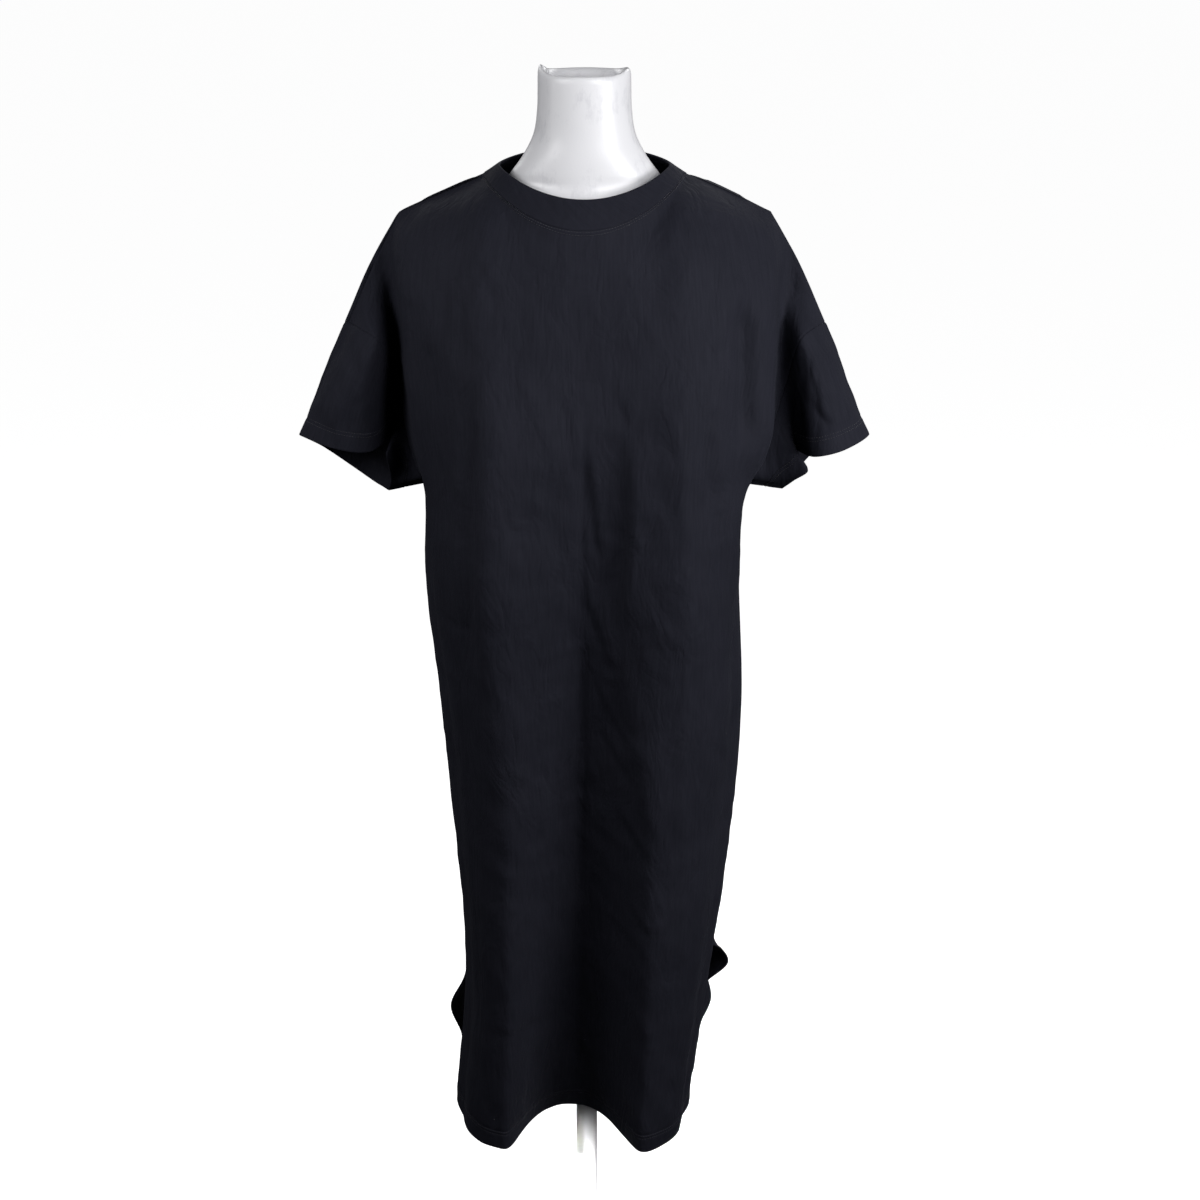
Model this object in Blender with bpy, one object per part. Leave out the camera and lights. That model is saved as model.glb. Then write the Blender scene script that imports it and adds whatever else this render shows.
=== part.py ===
# A jersey dress with a crew neck and drop shoulders, worn by a dress form on its stand.
# Metres, +Z up. The front faces -Y, and the origin is on the floor under the middle of the stand.
import math

import bpy
import numpy as np
from mathutils import Vector
from mathutils.bvhtree import BVHTree

# Driving sizes
CLOTH = 0.0016              # thickness of the jersey wall
BAND_CLOTH = 0.0024         # thickness of the doubled neckband
BAND_PROUD = 0.0004         # how far the neckband stands out of the panels
SEAM_GAP = 0.0004           # clear gap along each seam
REST_GAP = 0.0009           # from the form to the inside of the cloth where it rests
HEM = 0.300                 # height of the hem above the floor
SLIT_TOP = 0.495            # height at which each side slit ends
UNDERARM = 1.065            # height of the underarm point
SEAM_Y = 0.010              # depth at which the side seams hang
NECK_TOP = 1.507            # height of the top of the form's neck
FORM_BOTTOM = 0.740         # height of the form's underside
POLE_RADIUS = 0.0125
BASE_RADIUS = 0.160
BASE_THICK = 0.008
BOSS_RADIUS = 0.024
BOSS_HEIGHT = 0.040
PART_GAP = 0.0003           # between solids that stand on each other

# Grid sizes: columns between the lines of a panel's half, and rows up it
FRONT_COLUMNS = {"inner": 5, "outer": 5, "edge": 4, "valley": 3, "seam": 3}
BACK_COLUMNS = {"inner": 3, "outer": 3, "edge": 4, "valley": 3, "seam": 3}
SLIT_ROWS = 5
TUBE_ROWS = 11
UPPER_ROWS = 13
SHOULDER_CROWDING = 1.3     # how much closer the rows lie towards the shoulder line
SLEEVE_ROWS = 5
BAND_ROWS = 2
FORM_SIDES = 32


def table(columns, rows):
    """A dictionary of arrays, one for each named column."""
    values = np.array(rows, float).T
    return dict(zip(columns.split(), values))


# The torso: half width, reach to the front and the back, and superellipse exponent, at each height
FORM = table("z half_width front back square", [
    (0.740, 0.120, 0.062, 0.074, 2.3),
    (0.746, 0.133, 0.072, 0.086, 2.3),
    (0.775, 0.142, 0.076, 0.096, 2.3),
    (0.830, 0.145, 0.079, 0.098, 2.3),
    (0.900, 0.138, 0.082, 0.088, 2.3),
    (0.960, 0.127, 0.086, 0.077, 2.3),
    (1.010, 0.124, 0.090, 0.072, 2.3),
    (1.060, 0.130, 0.100, 0.075, 2.3),
    (1.110, 0.143, 0.117, 0.082, 2.3),
    (1.155, 0.154, 0.125, 0.088, 2.3),
    (1.200, 0.163, 0.117, 0.093, 2.3),
    (1.250, 0.173, 0.102, 0.095, 2.3),
    (1.300, 0.182, 0.089, 0.093, 2.2),
    (1.335, 0.184, 0.078, 0.085, 2.1),
    (1.352, 0.178, 0.070, 0.079, 1.95),
    (1.366, 0.165, 0.063, 0.073, 1.75),
    (1.376, 0.145, 0.058, 0.069, 1.60),
    (1.387, 0.116, 0.054, 0.065, 1.55),
    (1.397, 0.086, 0.051, 0.061, 1.60),
    (1.408, 0.075, 0.051, 0.059, 1.85),
    (1.424, 0.0634, 0.051, 0.057, 2.0),
    (1.445, 0.0530, 0.050, 0.054, 2.0),
    (1.470, 0.0490, 0.0495, 0.051, 2.0),
    (1.496, 0.0482, 0.049, 0.049, 2.0),
])
# The rolled rim at the top of the neck: share of the neck's size, and height under the top
RIM = table("share drop", [
    (0.985, 0.0035),
    (0.930, 0.0000),
    (0.860, 0.0030),
    (0.810, 0.0090),
])
RIM_LIFT = 0.006            # how much higher the rim stands at its left and right

# The hanging tube below the underarm: half width to each side, reach to the front and the back,
# how much wider each side grows for each metre towards the back, and superellipse exponent
TUBE = table("z left right front back left_spread right_spread square", [
    (0.300, 0.156, 0.122, 0.133, 0.205, 0.02, 0.20, 3.0),
    (0.465, 0.143, 0.142, 0.127, 0.175, 0.03, 0.15, 2.8),
    (0.560, 0.144, 0.155, 0.124, 0.158, 0.02, 0.05, 2.6),
    (0.690, 0.154, 0.170, 0.122, 0.140, 0.00, 0.00, 2.4),
    (0.810, 0.163, 0.177, 0.124, 0.126, 0.00, 0.00, 2.3),
    (0.950, 0.176, 0.171, 0.130, 0.114, 0.00, 0.00, 2.3),
    (1.065, 0.173, 0.166, 0.133, 0.108, 0.00, 0.00, 2.3),
])

# Vertical folds. at_top and at_hem run from -1 at the left side seam to 1 at the right one.
# depth is outward where it is positive. left and right are the fold's half widths, and
# left_full and right_full are how much each side has filled out into a bulge at the hem.
FOLD_COLUMNS = "at_top at_hem starts depth left right left_full right_full power"
FRONT_FOLDS = table(FOLD_COLUMNS, [
    (0.000, 0.000, 1.100, -0.106, 0.37, 0.28, 1.0, 0.5, 1.10),
    (-0.43, -0.58, 1.200, 0.010, 0.22, 0.16, 0.0, 0.0, 0.50),
    (0.480, 0.480, 1.200, 0.010, 0.20, 0.22, 0.0, 0.0, 0.50),
    (-0.78, -0.80, 1.020, -0.010, 0.16, 0.16, 0.0, 0.0, 0.60),
    (0.760, 0.730, 1.060, -0.012, 0.15, 0.15, 0.0, 0.0, 0.60),
])
BACK_FOLDS = table(FOLD_COLUMNS, [
    (-0.62, -0.52, 1.150, -0.030, 0.26, 0.24, 0.4, 0.4, 1.00),
    (-0.12, -0.06, 1.100, -0.036, 0.26, 0.26, 0.4, 0.4, 1.10),
    (0.340, 0.360, 1.160, -0.032, 0.22, 0.24, 0.4, 0.4, 1.00),
    (0.740, 0.720, 1.080, -0.022, 0.16, 0.16, 0.4, 0.4, 0.90),
])

# The side slits: how far each panel's edge draws back, and where an edge flips outward
SLIT_GAPE = 0.050           # share of the panel's half width at the hem
EDGE_FLIPS = table("panel side z height out across", [
    (1, 1, 0.473, 0.040, 0.026, 0.14),
    (0, 1, 0.425, 0.045, 0.012, 0.12),
    (1, -1, 0.410, 0.050, 0.017, 0.14),
])

# The upper panels from the underarm to the shoulder line, one half at a time.
# Each row is a level, and each group of columns a line up the cloth: the middle, the inner chest,
# the outer chest that ends at the shoulder neck point, the edge over the form's shoulder, the
# valley beside the sleeve, and the armhole seam.
LEVEL_COLUMNS = ("rise mid_y mid_z inner_x inner_y inner_z outer_x outer_y outer_z edge_x edge_y edge_z "
                 "valley_x valley_y valley_z seam_x seam_y seam_z")
FRONT_RIGHT = table(LEVEL_COLUMNS, [
    (1.090, -0.135, 1.090, 0.058, -0.136, 1.090, 0.119, -0.129, 1.090, 0.183, -0.058, 1.091,
     0.184, -0.024, 1.086, 0.177, -0.002, 1.077),
    (1.130, -0.136, 1.130, 0.058, -0.137, 1.130, 0.120, -0.132, 1.130, 0.196, -0.064, 1.128,
     0.196, -0.022, 1.118, 0.194, 0.002, 1.103),
    (1.200, -0.126, 1.200, 0.060, -0.127, 1.203, 0.121, -0.116, 1.208, 0.200, -0.058, 1.200,
     0.205, -0.008, 1.190, 0.211, 0.014, 1.166),
    (1.290, -0.100, 1.296, 0.062, -0.097, 1.304, 0.118, -0.084, 1.322, 0.198, -0.042, 1.290,
     0.212, 0.002, 1.264, 0.226, -0.030, 1.232),
    (1.335, -0.088, 1.334, 0.063, -0.080, 1.345, 0.112, -0.050, 1.378, 0.198, -0.022, 1.338,
     0.219, 0.003, 1.292, 0.242, -0.022, 1.244),
    (1.370, -0.080, 1.362, 0.072, -0.055, 1.383, 0.104, 0.004, 1.404, 0.196, 0.006, 1.364,
     0.228, 0.004, 1.309, 0.257, 0.000, 1.246),
])
FRONT_LEFT = table(LEVEL_COLUMNS, [
    (1.090, -0.135, 1.090, 0.058, -0.136, 1.090, 0.118, -0.129, 1.090, 0.177, -0.056, 1.091,
     0.180, -0.022, 1.086, 0.179, -0.002, 1.075),
    (1.130, -0.136, 1.130, 0.058, -0.137, 1.130, 0.116, -0.130, 1.130, 0.182, -0.060, 1.128,
     0.187, -0.020, 1.118, 0.190, 0.002, 1.102),
    (1.200, -0.126, 1.200, 0.060, -0.127, 1.203, 0.119, -0.115, 1.208, 0.187, -0.055, 1.200,
     0.198, -0.002, 1.192, 0.205, 0.014, 1.168),
    (1.290, -0.100, 1.296, 0.062, -0.097, 1.304, 0.118, -0.084, 1.320, 0.192, -0.044, 1.290,
     0.205, 0.006, 1.266, 0.217, -0.036, 1.233),
    (1.335, -0.088, 1.334, 0.063, -0.080, 1.345, 0.112, -0.050, 1.376, 0.196, -0.022, 1.335,
     0.213, 0.004, 1.292, 0.237, -0.026, 1.244),
    (1.370, -0.080, 1.362, 0.072, -0.055, 1.383, 0.104, 0.004, 1.400, 0.196, 0.006, 1.362,
     0.223, 0.004, 1.309, 0.253, 0.000, 1.246),
])
BACK_RIGHT = table(LEVEL_COLUMNS, [
    (1.090, 0.109, 1.090, 0.058, 0.108, 1.090, 0.115, 0.101, 1.090, 0.170, 0.070, 1.089,
     0.180, 0.050, 1.083, 0.181, 0.028, 1.074),
    (1.130, 0.110, 1.130, 0.058, 0.110, 1.130, 0.116, 0.106, 1.130, 0.175, 0.088, 1.125,
     0.190, 0.070, 1.112, 0.200, 0.048, 1.096),
    (1.200, 0.110, 1.200, 0.060, 0.110, 1.205, 0.119, 0.106, 1.215, 0.184, 0.086, 1.198,
     0.207, 0.076, 1.178, 0.224, 0.062, 1.152),
    (1.290, 0.106, 1.300, 0.064, 0.104, 1.308, 0.118, 0.092, 1.325, 0.192, 0.062, 1.290,
     0.219, 0.054, 1.258, 0.243, 0.046, 1.214),
    (1.335, 0.098, 1.365, 0.066, 0.090, 1.368, 0.112, 0.058, 1.382, 0.196, 0.036, 1.338,
     0.223, 0.030, 1.291, 0.252, 0.026, 1.236),
    (1.370, 0.084, 1.403, 0.068, 0.064, 1.404, 0.104, 0.004, 1.404, 0.196, 0.006, 1.364,
     0.228, 0.004, 1.309, 0.257, 0.000, 1.246),
])
LINES = {"mid": 0.0, "inner": 0.25, "outer": 0.5, "edge": 0.70, "valley": 0.85, "seam": 1.0}

# Each cuff, from the underarm (0) up its front to the top (0.5) and down its back (1)
CUFF_RIGHT = table("around x y z", [
    (0.000, 0.218, 0.020, 1.055),
    (0.080, 0.228, -0.004, 1.071),
    (0.150, 0.242, -0.014, 1.086),
    (0.235, 0.230, 0.012, 1.100),
    (0.310, 0.246, -0.030, 1.105),
    (0.400, 0.277, -0.034, 1.113),
    (0.500, 0.309, 0.002, 1.121),
    (0.610, 0.294, 0.036, 1.116),
    (0.740, 0.268, 0.056, 1.100),
    (0.880, 0.239, 0.051, 1.072),
    (1.000, 0.218, 0.020, 1.055),
])
CUFF_LEFT = table("around x y z", [
    (0.000, 0.219, 0.030, 1.050),
    (0.080, 0.213, 0.004, 1.072),
    (0.150, 0.214, -0.022, 1.108),
    (0.235, 0.213, 0.018, 1.114),
    (0.300, 0.232, -0.032, 1.111),
    (0.400, 0.272, -0.034, 1.116),
    (0.500, 0.311, 0.002, 1.121),
    (0.610, 0.292, 0.044, 1.097),
    (0.740, 0.262, 0.060, 1.070),
    (0.880, 0.236, 0.054, 1.053),
    (1.000, 0.219, 0.030, 1.050),
])

# The neckband's free edge, around the neck
BAND_EDGE = {"half_width": 0.089, "front_y": -0.064, "back_y": 0.066,
             "front_z": 1.387, "side_z": 1.414, "back_z": 1.424}


def curve_through(knots, values, at):
    """Smooth curve through rows of values, with slopes taken from each knot's neighbours."""
    knots = np.asarray(knots, float)
    values = np.asarray(values, float)
    at = np.atleast_1d(np.asarray(at, float))
    slopes = np.empty_like(values)
    slopes[1:-1] = ((values[2:] - values[:-2]).T / (knots[2:] - knots[:-2])).T
    slopes[0] = (values[1] - values[0]) / (knots[1] - knots[0])
    slopes[-1] = (values[-1] - values[-2]) / (knots[-1] - knots[-2])
    span = np.clip(np.searchsorted(knots, at, side="right") - 1, 0, len(knots) - 2)
    width = knots[span + 1] - knots[span]
    t = (at - knots[span]) / width
    if values.ndim > 1:
        t = t.reshape(-1, *[1] * (values.ndim - 1))
        width = width.reshape(t.shape)
    return ((2 * t**3 - 3 * t**2 + 1) * values[span] + (t**3 - 2 * t**2 + t) * width * slopes[span]
            + (3 * t**2 - 2 * t**3) * values[span + 1] + (t**3 - t**2) * width * slopes[span + 1])


def read_sizes(sizes, column, z):
    """One column of a table of sections, at height z."""
    return float(curve_through(sizes["z"], sizes[column], z)[0])


# The dress form and its stand

def form_ring(half_width, front, back, square, z):
    """One closed ring of the form, from the centre back round by +X."""
    turn = np.linspace(0, 2 * math.pi, FORM_SIDES, endpoint=False)
    power = 2 / square
    x = half_width * np.sign(np.sin(turn)) * np.abs(np.sin(turn)) ** power
    reach = np.where(np.cos(turn) > 0, back, front)
    y = reach * np.sign(np.cos(turn)) * np.abs(np.cos(turn)) ** power
    return np.stack([x, y, np.broadcast_to(z, turn.shape)], axis=1)


def loft(rings):
    """Closed mesh through rings from bottom to top, with its two ends fanned shut."""
    sides = len(rings[0])
    points = [tuple(p) for ring in rings for p in ring]
    faces = []
    for level in range(len(rings) - 1):
        for side in range(sides):
            low = level * sides + side
            low_next = level * sides + (side + 1) % sides
            faces.append((low_next, low, low + sides))
            faces.append((low_next, low + sides, low_next + sides))
    for ring, start in ((rings[0], 0), (rings[-1], (len(rings) - 1) * sides)):
        points.append(tuple(ring.mean(axis=0)))
        centre = len(points) - 1
        for side in range(sides):
            pair = (start + side, start + (side + 1) % sides)
            faces.append((*pair, centre) if start == 0 else (pair[1], pair[0], centre))
    return points, faces


def form_mesh():
    """Points and faces of the torso with its neck and rolled rim."""
    sizes = ("half_width", "front", "back")
    rings = [form_ring(*row) for row in zip(*(FORM[name] for name in (*sizes, "square", "z")))]
    neck = [FORM[name][-1] for name in sizes]
    turn = np.linspace(0, 2 * math.pi, FORM_SIDES, endpoint=False)
    lift = RIM_LIFT * np.abs(np.sin(turn)) ** 8
    for share, drop in zip(RIM["share"], RIM["drop"]):
        half_width, front, back = (share * size for size in neck)
        height = NECK_TOP - drop + lift * (1 - drop / RIM["drop"].max())
        rings.append(form_ring(half_width, front, back, 2.0, height))
    return loft(rings)


def turned(profile, sides):
    """Closed mesh turned about the Z axis from (radius, height) pairs, bottom to top."""
    turn = np.linspace(0, 2 * math.pi, sides, endpoint=False)
    rings = [np.stack([r * np.sin(turn), r * np.cos(turn), np.full(sides, z)], axis=1) for r, z in profile]
    return loft(rings)


# The dress as one surface

def fold_shape(offset, hang, left, right, left_full, right_full):
    """1 at the fold's line, falling to 0 at its half width: straight at its top, bulging at the hem."""
    t = np.clip(np.where(offset < 0, -offset / left, offset / right), 0, 1)
    full = np.where(offset < 0, left_full, right_full) * hang ** 2
    straight = 0.65 * (1 - t) + 0.35 * (0.5 + 0.5 * np.cos(math.pi * t))
    return (1 - full) * straight + full * (1 - t ** 3.2)


def tube_section(z, panel):
    """The plain section of the front or back at height z: places from -1 to 1, and points."""
    size = {name: read_sizes(TUBE, name, z) for name in TUBE}
    facing = 1 if panel else -1
    reach = facing * size["back" if panel else "front"]
    turn = np.linspace(-math.pi / 2, math.pi / 2, 721)
    power = 2 / size["square"]
    half_width = np.where(turn < 0, size["left"], size["right"])
    spread = np.where(turn < 0, size["left_spread"], size["right_spread"])
    y = SEAM_Y + (reach - SEAM_Y) * np.cos(turn).clip(0) ** power
    half_width = half_width + spread * (y - SEAM_Y).clip(0)
    x = half_width * np.sign(turn) * np.abs(np.sin(turn)) ** power
    length = np.concatenate([[0], np.cumsum(np.hypot(np.diff(x), np.diff(y)))])
    length -= length[len(turn) // 2]
    share = np.where(length < 0, length / -length[0], length / length[-1])
    return share, x, y


def tube_row(across, z, panel):
    """Points of the front (panel 0) or back (panel 1) at height z, from across -1 to 1."""
    share, x, y = tube_section(z, panel)
    opened = max(0.0, (SLIT_TOP - z) / (SLIT_TOP - HEM))
    used = across * (1 - SLIT_GAPE * opened ** 0.8)
    step = 0.03
    point = np.stack([np.interp(used, share, x), np.interp(used, share, y)], axis=1)
    before = np.stack([np.interp(used - step, share, x), np.interp(used - step, share, y)], axis=1)
    after = np.stack([np.interp(used + step, share, x), np.interp(used + step, share, y)], axis=1)
    along = after - before
    along /= np.linalg.norm(along, axis=1, keepdims=True)
    outward = np.stack([-along[:, 1], along[:, 0]], axis=1) * (1 if panel else -1)

    folds = BACK_FOLDS if panel else FRONT_FOLDS
    push = np.zeros(len(across))
    for at_top, at_hem, starts, depth, *shape, power in zip(*folds.values()):
        hang = np.clip((starts - z) / (starts - HEM), 0, 1)
        line = at_top + (at_hem - at_top) * hang
        push += depth * hang ** power * fold_shape(across - line, hang, *shape)
    for flip_panel, side, at, height, out, width in zip(*EDGE_FLIPS.values()):
        if flip_panel == panel and z < SLIT_TOP:
            near = max(0.0, 1 - abs(z - at) / height)
            push += out * near * np.clip(1 - (1 - across * side) / width, 0, 1) ** 1.5
    point += outward * push[:, None]
    return np.column_stack([point, np.full(len(across), z)])


def half_lines(levels, row):
    """The points of one level's lines, from the middle out to the armhole seam."""
    return np.array([[levels[f"{name}_{axis}"][row] if f"{name}_{axis}" in levels else 0.0 for axis in "xyz"]
                     for name in LINES])


def level_row(left, right, row, across):
    """Points of one level of an upper panel, with a crease at the edge over each shoulder."""
    places = np.array(list(LINES.values()))
    knots = np.concatenate([-places[:0:-1], places])
    lines = np.concatenate([half_lines(left, row)[:0:-1] * (-1, 1, 1), half_lines(right, row)])
    crease = list(LINES).index("edge")
    first = len(places) - 1 - crease
    last = len(places) - 1 + crease
    spans = [(slice(0, first + 1), across < -LINES["edge"]),
             (slice(last, None), across > LINES["edge"]),
             (slice(first, last + 1), np.abs(across) <= LINES["edge"])]
    points = np.empty((len(across), 3))
    for span, chosen in spans:
        if chosen.any():
            points[chosen] = curve_through(knots[span], lines[span], across[chosen])
    return points


def round_the_neck(row, across):
    """The row with its stretch between the shoulder neck points laid on half an ellipse."""
    for side in (-1, 1):
        corner = row[np.argmin(np.abs(across - side * LINES["outer"]))]
        middle = row[np.argmin(np.abs(across))]
        chosen = (side * across >= 0) & (np.abs(across) <= LINES["outer"] + 1e-9)
        turn = math.pi * np.abs(across[chosen])
        ahead = np.cos(turn)[:, None]
        row[chosen] = corner + (middle - corner) * np.column_stack([ahead, ahead, ahead ** 2])
        row[chosen, 0] = corner[0] * np.sin(turn)
    return row


def across_columns(counts):
    """Column places from -1 to 1, even between one line of the panel and the next."""
    half = [0.0]
    for name, count in counts.items():
        half.extend(np.linspace(half[-1], LINES[name], count + 1)[1:])
    half = np.array(half)
    return np.concatenate([-half[:0:-1], half])


def shoulder_count():
    """Columns from the shoulder neck point to the armhole seam."""
    return sum(FRONT_COLUMNS[name] for name in ("edge", "valley", "seam"))


def climb():
    """Share of the way from the underarm to the shoulder line for each row."""
    return 1 - np.linspace(1, 0, UPPER_ROWS + 1) ** SHOULDER_CROWDING


def tube_heights():
    """Heights of the rows from the hem to the underarm."""
    slit = np.linspace(HEM, SLIT_TOP, SLIT_ROWS + 1)[:-1]
    return np.concatenate([slit, np.linspace(SLIT_TOP, UNDERARM, TUBE_ROWS + 1)])


def panel_grid(panel):
    """Rows of points of the front or back panel, from the hem up to the shoulder line."""
    across = across_columns(BACK_COLUMNS if panel else FRONT_COLUMNS)
    left, right = (BACK_RIGHT, BACK_RIGHT) if panel else (FRONT_LEFT, FRONT_RIGHT)
    below = [UNDERARM - 0.12, UNDERARM - 0.06, UNDERARM]
    control = [tube_row(across, z, panel) for z in below]
    control += [level_row(left, right, row, across) for row in range(len(right["rise"]))]
    control[-1] = round_the_neck(control[-1], across)
    knots = np.concatenate([below, right["rise"]])
    hang = [tube_row(across, z, panel) for z in tube_heights()[:-1]]
    rises = UNDERARM + (knots[-1] - UNDERARM) * climb()
    upper = curve_through(knots, np.array(control), rises)
    return np.concatenate([np.array(hang), upper])


def join_seams(front, back):
    """Gives the two panels the same points along the side seams, the armholes' ends and the shoulders."""
    for row in range(SLIT_ROWS, SLIT_ROWS + TUBE_ROWS + 1):
        for side in (0, -1):
            middle = (front[row, side] + back[row, side]) / 2
            front[row, side] = middle
            back[row, side] = middle
    shoulder = shoulder_count() + 1
    back[-1, :shoulder] = front[-1, :shoulder]
    back[-1, -shoulder:] = front[-1, -shoulder:]


def sleeve_grid(front, back, side):
    """Rings of the sleeve on one side, from the armhole to the cuff."""
    low = SLIT_ROWS + TUBE_ROWS
    column, inner = (0, 1) if side < 0 else (-1, -2)
    start = np.concatenate([front[low:, column], back[low:, column][::-1][1:]])
    inside = np.concatenate([front[low:, inner], back[low:, inner][::-1][1:]])
    cuff = CUFF_LEFT if side < 0 else CUFF_RIGHT
    around = np.concatenate([climb() / 2, 1 - climb()[-2::-1] / 2])
    end = curve_through(cuff["around"], np.column_stack([cuff[axis] for axis in "xyz"]), around)
    end[-1] = end[0]
    end[:, 0] *= side
    chord = end - start
    run = np.linalg.norm(chord, axis=1, keepdims=True)
    leave = start - inside
    leave /= np.linalg.norm(leave, axis=1, keepdims=True)
    follow = 0.45 * np.clip(5 * np.minimum(around, 1 - around), 0, 1)[:, None]
    leave = follow * leave * run + (1 - follow) * chord
    t = np.linspace(0, 1, SLEEVE_ROWS + 1)[:, None, None]
    return ((2 * t**3 - 3 * t**2 + 1) * start + (t**3 - 2 * t**2 + t) * leave
            + (3 * t**2 - 2 * t**3) * end + (t**3 - t**2) * chord)


def band_grid(front, back):
    """Rings of the neckband, from its seam to its free edge, closed round the neck."""
    skip = shoulder_count()
    seam_front = front[-1, skip:front.shape[1] - skip]
    seam_back = back[-1, skip:back.shape[1] - skip][::-1][1:]
    seam = np.concatenate([seam_front, seam_back])
    turn = np.concatenate([
        np.linspace(-math.pi / 2, math.pi / 2, len(seam_front)),
        np.linspace(math.pi / 2, 3 * math.pi / 2, len(seam_back) + 1)[1:],
    ])
    ahead = np.cos(turn)
    edge_y = np.where(ahead > 0, BAND_EDGE["front_y"], -BAND_EDGE["back_y"]) * ahead
    low = np.where(ahead > 0, BAND_EDGE["front_z"], BAND_EDGE["back_z"])
    edge_z = BAND_EDGE["side_z"] + (low - BAND_EDGE["side_z"]) * ahead ** 2
    edge = np.column_stack([BAND_EDGE["half_width"] * np.sin(turn), edge_y, edge_z])
    return np.array([seam + (edge - seam) * t for t in np.linspace(0, 1, BAND_ROWS + 1)])


def off_the_form(grid, form, clear):
    """Moves every point that is nearer the form than clear out to that distance."""
    for index in np.ndindex(grid.shape[:2]):
        point = Vector(grid[index])
        spot, normal, _, _ = form.find_nearest(point)
        if spot is not None and (point - spot).dot(normal) < clear:
            out = point - spot
            out = out.normalized() if out.dot(normal) > 1e-5 else normal
            grid[index] = spot + out * clear


def shared_normals(grids):
    """Outward normals of every grid's points, shared where two grids meet at a seam."""
    sums = {}
    keys = {}
    for name, (grid, flip) in grids.items():
        steps_up = grid[1:, :-1] - grid[:-1, 1:]
        steps_across = grid[1:, 1:] - grid[:-1, :-1]
        face = np.cross(steps_across, steps_up) * (-1 if flip else 1)
        face /= np.linalg.norm(face, axis=2, keepdims=True)
        keys[name] = np.round(grid / 2e-5).astype(int)
        for row, column in np.ndindex(face.shape[:2]):
            for corner in ((row, column), (row + 1, column), (row, column + 1), (row + 1, column + 1)):
                key = tuple(keys[name][corner])
                sums[key] = sums.get(key, 0) + face[row, column]
    normals = {}
    for name, (grid, _) in grids.items():
        found = np.array([sums[tuple(key)] for key in keys[name].reshape(-1, 3)]).reshape(grid.shape)
        normals[name] = found / np.linalg.norm(found, axis=2, keepdims=True)
    return normals


def draw_back(outer, inner, edges, by):
    """Moves a panel's named edges into the panel, square to the edge, to open the seam gap."""
    for edge in edges:
        rim, neighbour = {
            "low": ((0, slice(None)), (1, slice(None))),
            "high": ((-1, slice(None)), (-2, slice(None))),
            "left": ((slice(None), 0), (slice(None), 1)),
            "right": ((slice(None), -1), (slice(None), -2)),
        }[edge]
        line = outer[rim]
        run = np.gradient(line, axis=0)
        run /= np.maximum(np.linalg.norm(run, axis=1, keepdims=True), 1e-9)
        inward = outer[neighbour] - line
        inward -= (inward * run).sum(axis=1, keepdims=True) * run
        inward /= np.maximum(np.linalg.norm(inward, axis=1, keepdims=True), 1e-9)
        outer[rim] = line + inward * by
        inner[rim] = inner[rim] + inward * by


def wall(outer, inner, flip, ring):
    """Points and triangles of a closed cloth wall between an outer and an inner grid."""
    rows, columns = outer.shape[:2]
    if ring:
        columns -= 1
        outer = outer[:, :columns]
        inner = inner[:, :columns]
    count = rows * columns
    points = np.concatenate([outer.reshape(-1, 3), inner.reshape(-1, 3)])
    faces = []

    def number(row, column, layer):
        return layer * count + row * columns + column % columns

    def quad(a, b, c, d, like=0):
        """Two triangles, split along the shorter diagonal of the same corners moved on by like."""
        first = np.linalg.norm(points[a + like] - points[c + like])
        second = np.linalg.norm(points[b + like] - points[d + like])
        faces.extend([(a, b, c), (a, c, d)] if first <= second else [(a, b, d), (b, c, d)])

    for row in range(rows - 1):
        for column in range(columns if ring else columns - 1):
            corners = [(row, column), (row, column + 1), (row + 1, column + 1), (row + 1, column)]
            quad(*(number(*corner, 0) for corner in corners))
            quad(*(number(*corner, 1) for corner in corners[::-1]), like=-count)
    for column in range(columns if ring else columns - 1):
        quad(number(0, column + 1, 0), number(0, column, 0), number(0, column, 1), number(0, column + 1, 1))
        top = rows - 1
        quad(number(top, column, 0), number(top, column + 1, 0),
             number(top, column + 1, 1), number(top, column, 1))
    if not ring:
        last = columns - 1
        for row in range(rows - 1):
            quad(number(row, 0, 0), number(row + 1, 0, 0), number(row + 1, 0, 1), number(row, 0, 1))
            quad(number(row + 1, last, 0), number(row, last, 0),
                 number(row, last, 1), number(row + 1, last, 1))
    if flip:
        faces = [face[::-1] for face in faces]
    return [tuple(p) for p in points], faces


# Objects and materials

def material(name, colour, roughness, metallic=0.0):
    made = bpy.data.materials.new(name)
    made.use_nodes = True
    shader = made.node_tree.nodes["Principled BSDF"]
    shader.inputs["Base Color"].default_value = (*colour, 1)
    shader.inputs["Roughness"].default_value = roughness
    shader.inputs["Metallic"].default_value = metallic
    return made


def add_object(name, points, faces, finish):
    mesh = bpy.data.meshes.new(name)
    mesh.from_pydata(points, [], faces)
    mesh.materials.append(finish)
    mesh.shade_smooth()
    mesh.set_sharp_from_angle(angle=math.radians(50))
    made = bpy.data.objects.new(name, mesh)
    bpy.context.scene.collection.objects.link(made)
    return made


def form_tree(points, faces):
    """The form's surface as a tree that finds its nearest point."""
    return BVHTree.FromPolygons([Vector(p) for p in points], faces)


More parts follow.
